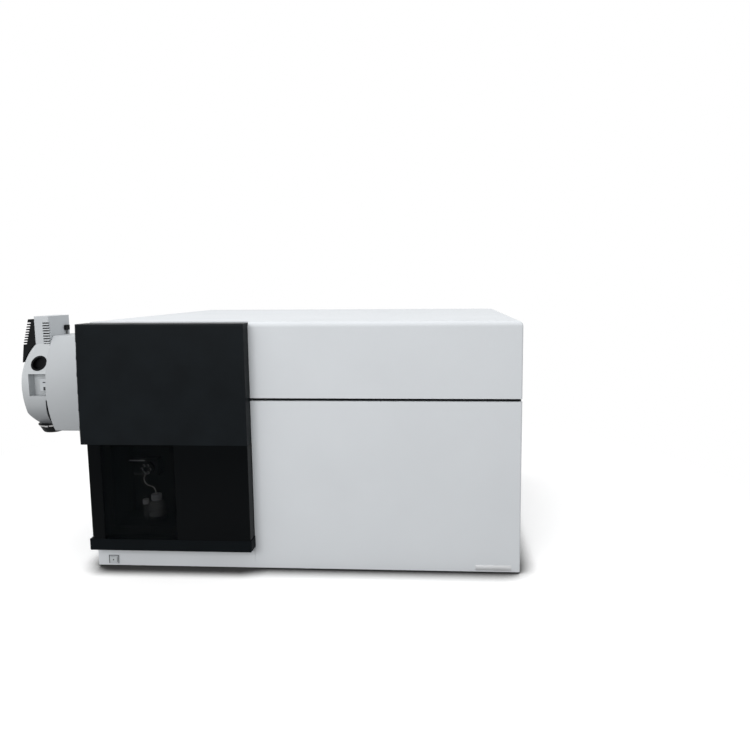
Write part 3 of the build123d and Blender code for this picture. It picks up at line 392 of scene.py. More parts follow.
STEEL = (0.58, 0.58, 0.57)
dress(turned_metal("turned_flange", (0.66, 0.67, 0.68), 0.3, middle("source_flange"), "X"), "source_flange")
dress(turned_metal("turned_inlet", STEEL, 0.2, middle("capillary"), "X"), "capillary")

# ---- Ion optics and detector ----
# Gold-plated rods held in white ceramic plates, clamped in line on one axis down the manifold.
# The finish turns from gold to ceramic at the plates' radius.

PLATED_REACH = 0.03


def reckon(owner, operation, *terms):
    """The result of one sum on numbers or other nodes' outputs."""
    return add_node(owner, "ShaderNodeMath", dict(enumerate(terms)), operation=operation).outputs[0]


optics, shader = new_finish("plated_optics", (0.8, 0.62, 0.28), 0.25, metallic=1.0)
place = object_place(optics, centre=middle("quadrupoles"), stretch=(0, 1, 1))
distance = add_node(optics, "ShaderNodeVectorMath", {0: place}, operation="LENGTH").outputs["Value"]
ceramic = reckon(optics, "GREATER_THAN", distance, PLATED_REACH)
feed(optics, blend_colours(optics, ceramic, (0.8, 0.6, 0.25), (0.8, 0.78, 0.74)), shader, "Base Color")
feed(optics, between(optics, ceramic, 1, 0, 0, 1), shader, "Metallic")
dress(optics, "ion_guides", "quadrupoles")

# ---- Pumps, foreline and other steelwork ----
# Turned, bent and welded from stainless steel and brushed to a satin finish. The pumps hang under
# the manifold, and the pipe joins them to the exhaust at the rear.

steel, shader = new_finish("satin_steel", STEEL, 0.3, metallic=1.0)
raise_surface(steel, shader, grained_gloss(steel, shader, 40.0, 0.22, 0.4, stretch=(40, 40, 2)), 0.00001)
dress(steel, "turbo_housings", "foreline_pipe", "exhaust_port", "manifold_posts", "detector", "chamber_hinge",
      "nebulizer", "valve_rotor")

# ---- Main board ----
# A glass-cloth board with a green mask, screwed to posts. Black moulded packages are soldered to
# its inner face.

GREEN_MASK = (0.02, 0.14, 0.06)
PACKAGE_HEIGHT = 0.0045

board, shader = new_finish("solder_mask", GREEN_MASK, 0.35)
place = add_node(board, "ShaderNodeSeparateXYZ", {0: object_place(board)}).outputs["Y"]
package = reckon(board, "LESS_THAN", place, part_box("main_board")[0].y + PACKAGE_HEIGHT)
feed(board, blend_colours(board, package, GREEN_MASK, (0.012, 0.012, 0.013)), shader, "Base Color")
dress(board, "main_board")

# ---- Black mouldings: fans, mains inlet, bay lining, small parts ----
# Injection-moulded from glass-filled black plastic with a fine spark-eroded grain, and clipped or
# screwed in place.


def moulded_black(name, colour, roughness, specular, per_metre, depth):
    """Grained black plastic."""
    material, shader = new_finish(name, colour, roughness, specular=specular)
    place = object_place(material)
    light = tuple(1.35 * channel for channel in colour)
    pebble = add_node(material, "ShaderNodeTexVoronoi", {"Vector": place, "Scale": per_metre},
                      feature="SMOOTH_F1").outputs["Distance"]
    cloud = grain(material, place, 18.0)
    feed(material, blend_colours(material, between(material, cloud, 0, 1), colour, light), shader, "Base Color")
    feed(material, between(material, cloud, roughness - 0.05, roughness + 0.06), shader, "Roughness")
    raise_surface(material, shader, pebble, depth)
    return material


black_plastic = moulded_black("grained_black", (0.0032, 0.0038, 0.0043), 0.5, 0.1, 1600.0, 0.00004)
# The groove rail's black stands for the shade in the groove between the pale front covers: painted shade.
dress(black_plastic, "fan_frames", "fan_rotor_1", "fan_rotor_2", "power_inlet", "bay_moulding", "groove_rail",
      "end_grille", "port_plug", "drain_cup", "heater_connector")

# ---- Fan guards ----
# Welded wire guards of chromed steel, one over each fan: rings on four radial wires, screwed on
# from behind.

GUARD_RINGS = 6
GUARD_SPOKES = 4
GUARD_WIRE = 0.0008
WIRES_APART = 1.7

wires, given, made = new_tree("guard_wires", places="geometry", rings="count", first="size", pitch="size",
                              wire="size", spokes="count", reach="size", finish="material")
hoop = add_node(wires, "GeometryNodeCurvePrimitiveCircle", {"Resolution": 72, "Radius": 1.0}).outputs[0]
upright = add_node(wires, "GeometryNodeTransform", {"Geometry": hoop, "Rotation": (pi / 2, 0, 0)}).outputs[0]
step = add_node(wires, "GeometryNodeInputIndex").outputs[0]
radius = reckon(wires, "MULTIPLY_ADD", step, given["pitch"], given["first"])
ring_points = add_node(wires, "GeometryNodePoints", {"Count": given["rings"]}).outputs[0]
rings = add_node(wires, "GeometryNodeInstanceOnPoints", {
    "Points": ring_points, "Instance": upright, "Scale": radius,
}).outputs[0]
tip = add_node(wires, "ShaderNodeCombineXYZ", {"X": given["reach"]}).outputs[0]
root = add_node(wires, "ShaderNodeCombineXYZ", {"X": given["first"]}).outputs[0]
spoke = add_node(wires, "GeometryNodeCurvePrimitiveLine", {"Start": root, "End": tip}).outputs[0]
share = reckon(wires, "DIVIDE", 2 * pi, given["spokes"])
turn = reckon(wires, "MULTIPLY_ADD", step, share, pi / 4)
turn = add_node(wires, "ShaderNodeCombineXYZ", {"Y": turn}).outputs[0]
behind = reckon(wires, "MULTIPLY", given["wire"], WIRES_APART)
behind = add_node(wires, "ShaderNodeCombineXYZ", {"Y": behind}).outputs[0]
spoke_points = add_node(wires, "GeometryNodePoints", {"Count": given["spokes"], "Position": behind}).outputs[0]
spokes = add_node(wires, "GeometryNodeInstanceOnPoints", {
    "Points": spoke_points, "Instance": spoke, "Rotation": turn,
}).outputs[0]
both = add_node(wires, "GeometryNodeJoinGeometry")
for lines in (spokes, rings):
    real = add_node(wires, "GeometryNodeRealizeInstances", {"Geometry": lines}).outputs[0]
    wires.links.new(real, both.inputs[0])
section = add_node(wires, "GeometryNodeCurvePrimitiveCircle",
                   {"Resolution": 10, "Radius": given["wire"]}).outputs[0]
drawn = add_node(wires, "GeometryNodeCurveToMesh", {
    "Curve": both.outputs[0], "Profile Curve": section, "Fill Caps": True,
}).outputs[0]
placed = add_node(wires, "GeometryNodeInstanceOnPoints", {
    "Points": given["places"], "Instance": drawn,
}).outputs[0]
deliver(wires, placed, given["finish"], made)

chrome, shader = new_finish("bright_chrome", (0.68, 0.69, 0.7), 0.16, metallic=1.0)
raise_surface(chrome, shader, grained_gloss(chrome, shader, 260.0, 0.12, 0.24), 0.000005)

guard_boxes = solid_boxes("fan_guards")
guard_reach = (guard_boxes[0][1].x - guard_boxes[0][0].x) / 2
guard_seats = [((low.x + high.x) / 2, low.y + GUARD_WIRE, (low.z + high.z) / 2) for low, high in guard_boxes]
ring_pitch = (guard_reach - GUARD_WIRE) / (GUARD_RINGS + 0.6)
guard_mesh = grow("fan_guard_wires", wires, guard_seats, rings=GUARD_RINGS, first=1.6 * ring_pitch,
                  pitch=ring_pitch, wire=GUARD_WIRE, spokes=GUARD_SPOKES, reach=guard_reach - GUARD_WIRE,
                  finish=chrome)
seat("fan_guard_wires", guard_mesh, "cabinet", "fan_guards")

# ---- Rear sockets ----
# The two serial sockets have tinned steel shells round a black insert, the network socket is a
# shielded box with sprung gold contacts, and the mains inlet has three plated blades.

SHELL_WALL = 0.0009
INSERT_DEPTH = 0.004
PIN_RADIUS = 0.0005
PIN_PITCH = 0.00277
PIN_ROW = 0.00142
PIN_LENGTH = 0.0013
CONTACT_COUNT = 8
CONTACT_PITCH = 0.00127
CONTACT_HALF = 0.0002
CONTACT_LEAN = -12
BLADE = (0.002, 0.004)
BLADE_SPREAD = 0.014


def add_slab(bm, low, high, bevel=0.0):
    """Add a block between two corners, with its edges broken."""
    low, high = Vector(low), Vector(high)
    size = high - low
    placed = Matrix.Translation((low + high) / 2) @ Matrix.Diagonal((*size, 1))
    cube = bmesh.ops.create_cube(bm, size=1.0, matrix=placed)
    if bevel:
        edges = list({edge for vertex in cube["verts"] for edge in vertex.link_edges})
        bmesh.ops.bevel(bm, geom=edges, offset=bevel, segments=2, profile=0.5, affect="EDGES")


def add_open_shell(bm, outline, inner, low_y, high_y):
    """Add a wall between two rings of (x, z) points, open at both ends."""
    loops = [
        [bm.verts.new((x, y, z)) for x, z in ring] for ring in (outline, inner) for y in (low_y, high_y)
    ]
    for near, far in ((0, 1), (2, 3), (0, 2), (1, 3)):
        for i in range(len(outline)):
            after = (i + 1) % len(outline)
            bm.faces.new((loops[near][i], loops[near][after], loops[far][after], loops[far][i]))


def shell_outline(low, high, inset):
    """The D form of a serial socket's shell: narrower at its foot."""
    lean = (high.z - low.z) / 4
    return [
        (low.x + inset + lean, low.z + inset), (high.x - inset - lean, low.z + inset),
        (high.x - inset, low.z + inset + lean), (high.x - inset, high.z - inset),
        (low.x + inset, high.z - inset), (low.x + inset, low.z + inset + lean),
    ]


tinned, shader = new_finish("tinned_steel", (0.62, 0.62, 0.61), 0.3, metallic=1.0)
grained_gloss(tinned, shader, 220.0, 0.22, 0.42, stretch=(1, 1, 6))
gold, shader = new_finish("gold_flash", (0.83, 0.62, 0.27), 0.25, metallic=1.0)
grained_gloss(gold, shader, 1500.0, 0.18, 0.32)

jack_box, *shell_boxes = solid_boxes("rear_connectors")
metal, insert = bmesh.new(), bmesh.new()
pin_seats = []
for low, high in shell_boxes:
    add_open_shell(metal, shell_outline(low, high, 0), shell_outline(low, high, SHELL_WALL), low.y, high.y)
    add_prism(insert, shell_outline(low, high, SHELL_WALL + 0.0001), low.y, low.y + INSERT_DEPTH)
    middle_x, middle_z = (low.x + high.x) / 2, (low.z + high.z) / 2
    for count, rise in ((5, PIN_ROW), (4, -PIN_ROW)):
        for i in range(count):
            pin_x = middle_x + (i - (count - 1) / 2) * PIN_PITCH
            pin_seats.append((pin_x, low.y + INSERT_DEPTH, middle_z + rise))
low, high = jack_box
square, inner = (
    [(low.x + wall, low.z + wall), (high.x - wall, low.z + wall), (high.x - wall, high.z - wall),
     (low.x + wall, high.z - wall)]
    for wall in (0, 2 * SHELL_WALL)
)
add_open_shell(metal, square, inner, low.y, high.y)
add_prism(insert, inner, low.y, low.y + INSERT_DEPTH)
seat("socket_shells", finished("socket_shells", metal, tinned), "cabinet", "rear_connectors")
seat("socket_inserts", finished("socket_inserts", insert, black_plastic), "cabinet")

bm = bmesh.new()
add_turned(bm, [(0, 0), (PIN_RADIUS, 0), (PIN_RADIUS, 0.8 * PIN_LENGTH), (0.4 * PIN_RADIUS, PIN_LENGTH),
                (0, PIN_LENGTH)], (0, 0, 0), (0, 1, 0), 12)
pin_mesh = grow("serial_pins", copies, pin_seats, shape=pattern("serial_pin", finished("pin", bm)),
                turn=0.0, seed=1, finish=gold)
seat("serial_pins", pin_mesh, "cabinet")

bm = bmesh.new()
reach = high.y - low.y - INSERT_DEPTH
add_slab(bm, (-CONTACT_PITCH / 4, 0, -CONTACT_HALF), (CONTACT_PITCH / 4, 0.8 * reach, CONTACT_HALF))
bmesh.ops.rotate(bm, verts=bm.verts, cent=(0, 0, 0), matrix=Matrix.Rotation(radians(CONTACT_LEAN), 3, "X"))
contact_seats = [
    ((low.x + high.x) / 2 + (i - (CONTACT_COUNT - 1) / 2) * CONTACT_PITCH, low.y + INSERT_DEPTH,
     high.z - 3.5 * SHELL_WALL)
    for i in range(CONTACT_COUNT)
]
contact_mesh = grow("jack_contacts", copies, contact_seats, turn=0.0, seed=1, finish=gold,
                    shape=pattern("contact", finished("contact", bm)))
seat("jack_contacts", contact_mesh, "cabinet")

low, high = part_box("power_inlet")
half_x, half_z = BLADE[0] / 2, BLADE[1] / 2
bm = bmesh.new()
earth_rise = 1.6 * half_z + half_z
for shift, rise in ((-BLADE_SPREAD / 2, -half_z), (BLADE_SPREAD / 2, -half_z), (0, earth_rise)):
    blade_x = (low.x + high.x) / 2 + shift
    blade_z = (low.z + high.z) / 2 + rise
    add_slab(bm, (blade_x - half_x, low.y + 0.003, blade_z - half_z),
             (blade_x + half_x, high.y - 0.006, blade_z + half_z), 0.0004)
seat("inlet_blades", finished("inlet_blades", bm, tinned), "cabinet")

# ---- Gas fittings ----
# Compression fittings for the nitrogen supply, turned from hexagon brass bar and screwed into the
# rear panel.

brass, shader = new_finish("turned_brass", (0.72, 0.5, 0.2), 0.28, metallic=1.0)
tarnish = grained_gloss(brass, shader, 90.0, 0.2, 0.4, detail=4.0)
feed(brass, blend_colours(brass, between(brass, tarnish, 0, 1), (0.62, 0.42, 0.17), (0.78, 0.57, 0.26)),
     shader, "Base Color")
dress(brass, "gas_fittings")

# ---- Pale covers ----
# Covers formed from steel sheet, finished in a pale grey textured powder coat and hung on the
# chassis.


def powder_coat(name, colour, roughness=0.5):
    """Textured powder coat: a fine orange peel and faint unevenness in tone."""
    material, shader = new_finish(name, colour, roughness, specular=0.35)
    place = object_place(material)
    peel = grain(material, place, 900.0, 3.0)
    cloud = grain(material, place, 6.0, 3.0)
    dark = tuple(0.965 * channel for channel in colour)
    feed(material, blend_colours(material, between(material, cloud, 0, 1), dark, colour), shader, "Base Color")
    feed(material, between(material, peel, roughness - 0.06, roughness + 0.08), shader, "Roughness")
    raise_surface(material, shader, peel, 0.00006)
    return material


pale_paint = powder_coat("pale_powder_coat", (0.64, 0.665, 0.69))
dress(pale_paint, "top_cover", "left_panel", "right_panel", "upper_front_panel", "lower_front_panel",
      "front_plinth")

# ---- Louvre lips ----
# The side cover's air slots were lanced in a press, so each has a curved lip turned inwards from
# its top edge, in the cover's own paint.

LOUVRE_LENGTH = 0.15
LOUVRE_HEIGHT = 0.005
LOUVRE_STARTS = (-0.2335, 0.0465)
LOUVRE_COUNT = 12
LOUVRE_PITCH = 0.014
LOUVRE_LOW = 0.12
LIP_THROW = 0.006
LIP_SHEET = 0.001
LIP_TURNS = [radians(angle) for angle in range(0, 76, 15)]

centre_z = LOUVRE_HEIGHT - LIP_THROW
hollow, crown = (
    [(-reach * sin(turn), centre_z + reach * cos(turn)) for turn in LIP_TURNS]
    for reach in (LIP_THROW, LIP_THROW + LIP_SHEET)
)
bm = bmesh.new()
add_prism(bm, hollow + crown[::-1], 0, LOUVRE_LENGTH)
lip = pattern("louvre_lip", finished("louvre_lip", bm))
inner_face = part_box("right_panel")[0].x
lip_seats = [
    (inner_face, start, LOUVRE_LOW + row * LOUVRE_PITCH)
    for start in LOUVRE_STARTS for row in range(LOUVRE_COUNT)
]
lip_mesh = grow("louvre_lips", copies, lip_seats, shape=lip, turn=0.0, seed=1, finish=pale_paint)
seat("louvre_lips", lip_mesh, "cabinet")

# ---- Bare rating plate ----
# A small plate of anodised aluminium with nothing on it, stuck low on the front cover at its right
# corner.

PLATE_RIGHT_INSET = 0.019
PLATE_SIZE = (0.079, 0.012)
PLATE_LOW = 0.007
PLATE_THICKNESS = 0.0004

plate_finish, shader = new_finish("satin_anodised", (0.6, 0.61, 0.62), 0.4, metallic=0.6)
grained_gloss(plate_finish, shader, 30.0, 0.32, 0.46, stretch=(60, 1, 1))
low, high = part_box("lower_front_panel")
corner = Vector((high.x - PLATE_RIGHT_INSET - PLATE_SIZE[0], low.y - PLATE_THICKNESS, PLATE_LOW))
bm = bmesh.new()
add_slab(bm, corner, corner + Vector((PLATE_SIZE[0], PLATE_THICKNESS, PLATE_SIZE[1])), PLATE_THICKNESS / 3)
seat("bare_plate", finished("bare_plate", bm, plate_finish), "cabinet")

# ---- Black front cover and sill ----
# Two plastic mouldings with a satin finish, each in one piece, clipped over the bulkhead above and
# below the door.

black_cover = moulded_black("satin_black", (0.004, 0.0055, 0.0068), 0.42, 0.06, 2200.0, 0.00003)
dress(black_cover, "upper_front_cover")
dress(moulded_black("sill_black", (0.002, 0.003, 0.0038), 0.5, 0.04, 1600.0, 0.00003), "sill")

# ---- Divert valve fittings ----
# Six turned steel nuts clamp the tubes to the valve's face. A bent steel tube leaves the left one
# for the bay's wall, and a bright blank tab for a label is held under the valve's face.

NUT_FLATS = 0.0031
NUT_LENGTH = 0.005
NUT_COLLAR = 0.0035
NUT_BORE = 0.0027
NUT_EDGE = 0.0006
NUT_SINK = 0.0004
FITTING_CIRCLE = 0.0095
FITTING_COUNT = 6
STEEL_TUBE = 0.0008
TUBE_LEAD = 0.007
TUBE_BEND = 0.004
LINING_WALL = 0.0032
TAB_INSET = 0.014
TAB_GAP = 0.0006
TAB_REACH = 0.038
TAB_HEIGHT = 0.003
TAB_THICKNESS = 0.0008

valve_black = moulded_black("black_anodised", (0.004, 0.0045, 0.005), 0.4, 0.15, 900.0, 0.00001)
dress(valve_black, "divert_valve", "valve_stator")
nut_steel, shader = new_finish("nickelled_nut", (0.85, 0.85, 0.83), 0.35, metallic=0.35)
grained_gloss(nut_steel, shader, 800.0, 0.28, 0.42)
valve_low, valve_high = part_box("valve_stator")
valve_middle = (valve_low + valve_high) / 2
turns = [2 * pi * i / FITTING_COUNT for i in range(FITTING_COUNT)]
nut_seats = [
    (valve_middle.x + FITTING_CIRCLE * cos(turn), valve_low.y + NUT_SINK,
     valve_middle.z + FITTING_CIRCLE * sin(turn))
    for turn in turns
]
bm = bmesh.new()
add_turned(bm, [(NUT_BORE, 0), (NUT_FLATS, 0), (NUT_COLLAR, NUT_EDGE), (NUT_COLLAR, NUT_LENGTH - NUT_EDGE),
                (NUT_FLATS, NUT_LENGTH), (NUT_BORE, NUT_LENGTH), (NUT_BORE, 0)], (0, 0, 0), (0, 1, 0), 6)
nut_mesh = grow("valve_nuts", copies, nut_seats, shape=pattern("valve_nut", finished("valve_nut", bm)),
                turn=pi / 3, seed=9, finish=nut_steel)
seat("valve_nuts", nut_mesh, "cabinet")


def add_tube(bm, places, radius, segments=12):
    """Add a capped round tube through a list of places."""
    places = [Vector(place) for place in places]
    rings = []
    side = None
    for i, place in enumerate(places):
        ahead = (places[min(i + 1, len(places) - 1)] - places[max(i - 1, 0)]).normalized()
        side = (ahead.orthogonal() if side is None else side - side.dot(ahead) * ahead).normalized()
        over = ahead.cross(side)
        rings.append([
            bm.verts.new(place + radius * (cos(turn) * side + sin(turn) * over))
            for turn in (2 * pi * j / segments for j in range(segments))
        ])
    for near, far in zip(rings, rings[1:]):
        for j in range(segments):
            after = (j + 1) % segments
            bm.faces.new((near[j], near[after], far[after], far[j]))
    for ring in (rings[0], rings[-1]):
        bm.faces.new(ring)


def bent(start, corner, end, radius, steps=8):
    """Places along two straight runs joined by a bend of a radius at a square corner."""
    start, corner, end = Vector(start), Vector(corner), Vector(end)
    back, ahead = (start - corner).normalized(), (end - corner).normalized()
    heart = corner + radius * (back + ahead)
    arc = [
        heart - radius * (cos(turn) * ahead + sin(turn) * back)
        for turn in (pi / 2 * step / steps for step in range(steps + 1))
    ]
    return [start, *arc, end]


left_seat = Vector(nut_seats[4])
tube_front = (left_seat.x, valve_low.y - TUBE_LEAD, left_seat.z)
tube_end = (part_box("bay_moulding")[0].x + LINING_WALL, *tube_front[1:])
bm = bmesh.new()
add_tube(bm, bent(left_seat, tube_front, tube_end, TUBE_BEND), STEEL_TUBE)
seat("bent_tube", finished("bent_tube", bm, chrome), "cabinet")

block_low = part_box("divert_valve")[0]
tab_right = block_low.x + TAB_INSET
tab_low = Vector((tab_right - TAB_REACH, block_low.y - TAB_THICKNESS, valve_high.z + TAB_GAP))
bm = bmesh.new()
add_slab(bm, tab_low, tab_low + Vector((TAB_REACH, TAB_THICKNESS, TAB_HEIGHT)), TAB_THICKNESS / 4)
seat("label_tab", finished("label_tab", bm, plate_finish), "cabinet")

# ---- Calibrant bottle, its cap and the wash vial ----
# The bottle is clear glass under a ribbed moulded cap and holds the calibrant to its shoulder. A
# small capped vial stands behind it.

CLEAR = 0.07
LIQUID_TOP = 0.132
GLASS_WALL = 0.0018
RIB_COUNT = 36
RIB_SIZE = (0.0007, 0.0011, 0.0085)
RIB_START = 0.002
VIAL_PLACE = (-0.283, -0.3135)
VIAL_RADIUS = 0.0065
VIAL_HEIGHT = 0.047
VIAL_CAP = (0.0072, 0.011)

glass, shader = new_finish("clear_glass", (0.9, 0.93, 0.93), 0.03)
shader.inputs["Alpha"].default_value = CLEAR
grained_gloss(glass, shader, 25.0, 0.02, 0.06)
dress(glass, "calibrant_bottle")

calibrant, shader = new_finish("calibrant", (0.5, 0.55, 0.55), 0.02)
shader.inputs["Alpha"].default_value = CLEAR
low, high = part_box("calibrant_bottle")
centre = (low + high) / 2
fill = (high.x - low.x) / 2 - GLASS_WALL
depth = LIQUID_TOP - low.z - GLASS_WALL
bm = bmesh.new()
add_turned(bm, [(0, 0), (fill - 0.001, 0), (fill, 0.001), (fill, depth), (0, depth)],
           (centre.x, centre.y, low.z + GLASS_WALL), (0, 0, 1), 48)
seat("calibrant_fill", finished("calibrant_fill", bm, calibrant), "cabinet")

cap_plastic, shader = new_finish("cap_plastic", (0.42, 0.44, 0.46), 0.4, specular=0.3)
raise_surface(cap_plastic, shader, grained_gloss(cap_plastic, shader, 500.0, 0.34, 0.5), 0.00002)
dress(cap_plastic, "bottle_cap")

ribs, given, made = new_tree("cap_ribs", places="geometry", shape="object", count="count", radius="size",
                             finish="material")
step = add_node(ribs, "GeometryNodeInputIndex").outputs[0]
turn = reckon(ribs, "MULTIPLY", step, reckon(ribs, "DIVIDE", 2 * pi, given["count"]))
across = reckon(ribs, "MULTIPLY", reckon(ribs, "COSINE", turn), given["radius"])
along = reckon(ribs, "MULTIPLY", reckon(ribs, "SINE", turn), given["radius"])
spot = add_node(ribs, "ShaderNodeCombineXYZ", {"X": across, "Y": along}).outputs[0]
spots = add_node(ribs, "GeometryNodePoints", {"Count": given["count"], "Position": spot}).outputs[0]
shape = add_node(ribs, "GeometryNodeObjectInfo", {"Object": given["shape"]}).outputs["Geometry"]
facing = add_node(ribs, "ShaderNodeCombineXYZ", {"Z": turn}).outputs[0]
crown_of_ribs = add_node(ribs, "GeometryNodeInstanceOnPoints", {
    "Points": spots, "Instance": shape, "Rotation": facing,
}).outputs[0]
placed = add_node(ribs, "GeometryNodeInstanceOnPoints", {
    "Points": given["places"], "Instance": crown_of_ribs,
}).outputs[0]
deliver(ribs, placed, given["finish"], made)

low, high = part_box("bottle_cap")
bm = bmesh.new()
add_slab(bm, (-RIB_SIZE[0], -RIB_SIZE[1] / 2, 0), (RIB_SIZE[0] / 2, RIB_SIZE[1] / 2, RIB_SIZE[2]), 0.0002)
rib_mesh = grow("cap_ribs", ribs, [((low.x + high.x) / 2, (low.y + high.y) / 2, low.z + RIB_START)],
                shape=pattern("cap_rib", finished("cap_rib", bm)), count=RIB_COUNT,
                radius=(high.x - low.x) / 2, finish=cap_plastic)
seat("cap_ribs", rib_mesh, "cabinet")

bay_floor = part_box("bay_moulding")[0].z + 0.003
bm = bmesh.new()
add_turned(bm, [(0, 0), (VIAL_RADIUS - 0.001, 0), (VIAL_RADIUS, 0.001), (VIAL_RADIUS, 0.8 * VIAL_HEIGHT),
                (0.7 * VIAL_RADIUS, 0.9 * VIAL_HEIGHT), (0.7 * VIAL_RADIUS, VIAL_HEIGHT), (0, VIAL_HEIGHT)],
           (*VIAL_PLACE, bay_floor), (0, 0, 1), 36)
seat("wash_vial", finished("wash_vial", bm, glass), "cabinet")
bm = bmesh.new()
cap_radius, cap_height = VIAL_CAP
add_turned(bm, [(0, 0), (cap_radius, 0), (cap_radius, cap_height - 0.0008), (cap_radius - 0.0008, cap_height),
                (0, cap_height)], (*VIAL_PLACE, bay_floor + VIAL_HEIGHT + 0.0001), (0, 0, 1), 36)
pale_cap, shader = new_finish("pale_cap", (0.55, 0.57, 0.58), 0.4, specular=0.3)
grained_gloss(pale_cap, shader, 400.0, 0.34, 0.48)
seat("wash_vial_cap", finished("wash_vial_cap", bm, pale_cap), "cabinet")

# ---- Transfer line ----
# A natural fluoropolymer tube from the valve's lower right nut down into the bottle's cap. It's
# stiff enough to keep its own bends.

LINE_RADIUS = 0.0012
LINE_ROUTE = [
    (-0.27325, -0.3185, 0.203773), (-0.27325, -0.3405, 0.203773), (-0.265, -0.3455, 0.184),
    (-0.247, -0.3335, 0.1763), (-0.247, -0.3335, 0.1523),
]

tube, shader = new_finish("natural_tube", (0.75, 0.74, 0.7), 0.25, specular=0.4)
haze = grained_gloss(tube, shader, 300.0, 0.2, 0.32)
feed(tube, blend_colours(tube, between(tube, haze, 0, 1), (0.7, 0.69, 0.65), (0.78, 0.77, 0.73)), shader,
     "Base Color")
curve = bpy.data.curves.new("transfer_tube", "CURVE")
curve.dimensions = "3D"
curve.bevel_depth = LINE_RADIUS
curve.bevel_resolution = 4
curve.use_fill_caps = True
spline = curve.splines.new("NURBS")
spline.points.add(len(LINE_ROUTE) - 1)
for point, place in zip(spline.points, LINE_ROUTE):
    point.co = (*place, 1)
spline.order_u = 3
spline.use_endpoint_u = True
spline.resolution_u = 12
curve.materials.append(tube)
line = bpy.data.objects.new("transfer_tube", curve)
bpy.context.scene.collection.objects.link(line)
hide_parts("transfer_line")
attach(line, "cabinet")

# ---- Smoked bay door ----
# One moulding of smoked clear acrylic, polished on both faces and hung on two pins at its left. It
# is blacked out at the sides of its window.

WINDOW_MIDDLE = -0.2525
WINDOW_HALF_WIDTH = 0.0825
WINDOW_DENSITY = 0.45

smoked, shader = new_finish("smoked_acrylic", (0.001, 0.0016, 0.0021), 0.06, specular=0.04)
from_middle = object_place(smoked, (WINDOW_MIDDLE, 0, 0))
across = add_node(smoked, "ShaderNodeSeparateXYZ", {0: from_middle}).outputs["X"]
border = reckon(smoked, "GREATER_THAN", reckon(smoked, "ABSOLUTE", across), WINDOW_HALF_WIDTH)
feed(smoked, between(smoked, border, WINDOW_DENSITY, 1, 0, 1), shader, "Alpha")
dress(smoked, "bay_door")

# ---- Power switch ----
# A square push button in a pale frame. A black strip on the frame's top and sides paints the shade of
# the gap round the button, and a small round lens is set in its middle.

LENS_RADIUS = 0.0016
LENS_HEIGHT = 0.0004
GAP_WIDTH = 0.0012
GAP_RISE = 0.0003
GAP_INSET = 0.0006

pale_moulding = powder_coat("pale_moulding", (0.53, 0.555, 0.575), 0.45)
dress(pale_moulding, "switch_housing", "power_button")
low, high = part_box("power_button")
centre = (low + high) / 2
bm = bmesh.new()
add_turned(bm, [(0, 0), (LENS_RADIUS, 0), (0.8 * LENS_RADIUS, LENS_HEIGHT), (0, LENS_HEIGHT)],
           (centre.x, low.y, centre.z), (0, -1, 0), 24)
seat("button_lens", finished("button_lens", bm, black_plastic), "power_button")
low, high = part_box("switch_housing")
top_edge = high.z - GAP_INSET
# Painted shade: a black strip, raised on the frame, stands for the shade in the gap along the button's top and
# sides.
bm = bmesh.new()
side_top = top_edge - GAP_WIDTH
add_slab(bm, (low.x + GAP_WIDTH, low.y - GAP_RISE, side_top), (high.x - GAP_WIDTH, low.y, top_edge))
for edge_x in (low.x + GAP_WIDTH, high.x - 2 * GAP_WIDTH):
    add_slab(bm, (edge_x, low.y - GAP_RISE, low.z + GAP_WIDTH), (edge_x + GAP_WIDTH, low.y, side_top))
seat("switch_gasket", finished("switch_gasket", bm, black_plastic), "cabinet")

# ---- Source collar, spray chamber and hood ----
# Pale mouldings in structural foam, screwed over the source's metal parts. The chamber's colour is
# painted lighter at its top and darker towards its belly: painted light and shade.

CHAMBER_LIT_TONE = (0.58, 0.605, 0.62)
CHAMBER_SHADED_TONE = (0.19, 0.2, 0.21)
SHADE_FROM, SHADE_TO = 0.425, 0.31

chamber_shade_paint = powder_coat("chamber_paint", CHAMBER_LIT_TONE, 0.45)
shader = chamber_shade_paint.node_tree.nodes["Principled BSDF"]
# Painted light and shade: the colour runs from the lit tone at the chamber's top to the shaded tone at its
# belly.
level = add_node(chamber_shade_paint, "ShaderNodeSeparateXYZ", {0: object_place(chamber_shade_paint)}).outputs["Z"]
painted_shade_share = between(chamber_shade_paint, level, 1, 0, SHADE_TO, SHADE_FROM)
feed(chamber_shade_paint, blend_colours(chamber_shade_paint, painted_shade_share, CHAMBER_LIT_TONE, CHAMBER_SHADED_TONE), shader, "Base Color")
dress(chamber_shade_paint, "chamber_housing")
# The collar's paint is the pale moulding darkened, as painted shade.
dress(powder_coat("collar_paint", (0.455, 0.475, 0.492), 0.45), "source_collar")
dress(pale_moulding, "sprayer_cover", "latch_lever")
dress(turned_metal("turned_cup", STEEL, 0.25, middle("chamber_cup"), "X"), "chamber_cup")

# ---- Latch hooks ----
# Two hooks pressed from steel strip and blued. They are riveted to the latch lever and draw the
# chamber shut.

HOOK_SHARES = ((0.64, 0.72, 0.45), (0.04, 0.32, 0.42))
HOOK_RISE = 0.0006
HOOK_SINK = 0.0002
HOOK_INSET = 0.004

hook_steel, shader = new_finish("blued_steel", (0.05, 0.052, 0.055), 0.4, metallic=1.0)
grained_gloss(hook_steel, shader, 300.0, 0.32, 0.5)
low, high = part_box("latch_lever")
size = high - low
right = high.x - HOOK_INSET
bm = bmesh.new()
for foot, head, width in HOOK_SHARES:
    add_slab(bm, (right - width * size.x, low.y - HOOK_RISE, low.z + foot * size.z),
             (right, low.y + HOOK_SINK, low.z + head * size.z), 0.0002)
seat("latch_hooks", finished("latch_hooks", bm, hook_steel), "latch")

# ---- Drain clamp ----
# A worm-drive band rolled from bright steel strip. It grips the black drain cup, with its screw at
# the front.

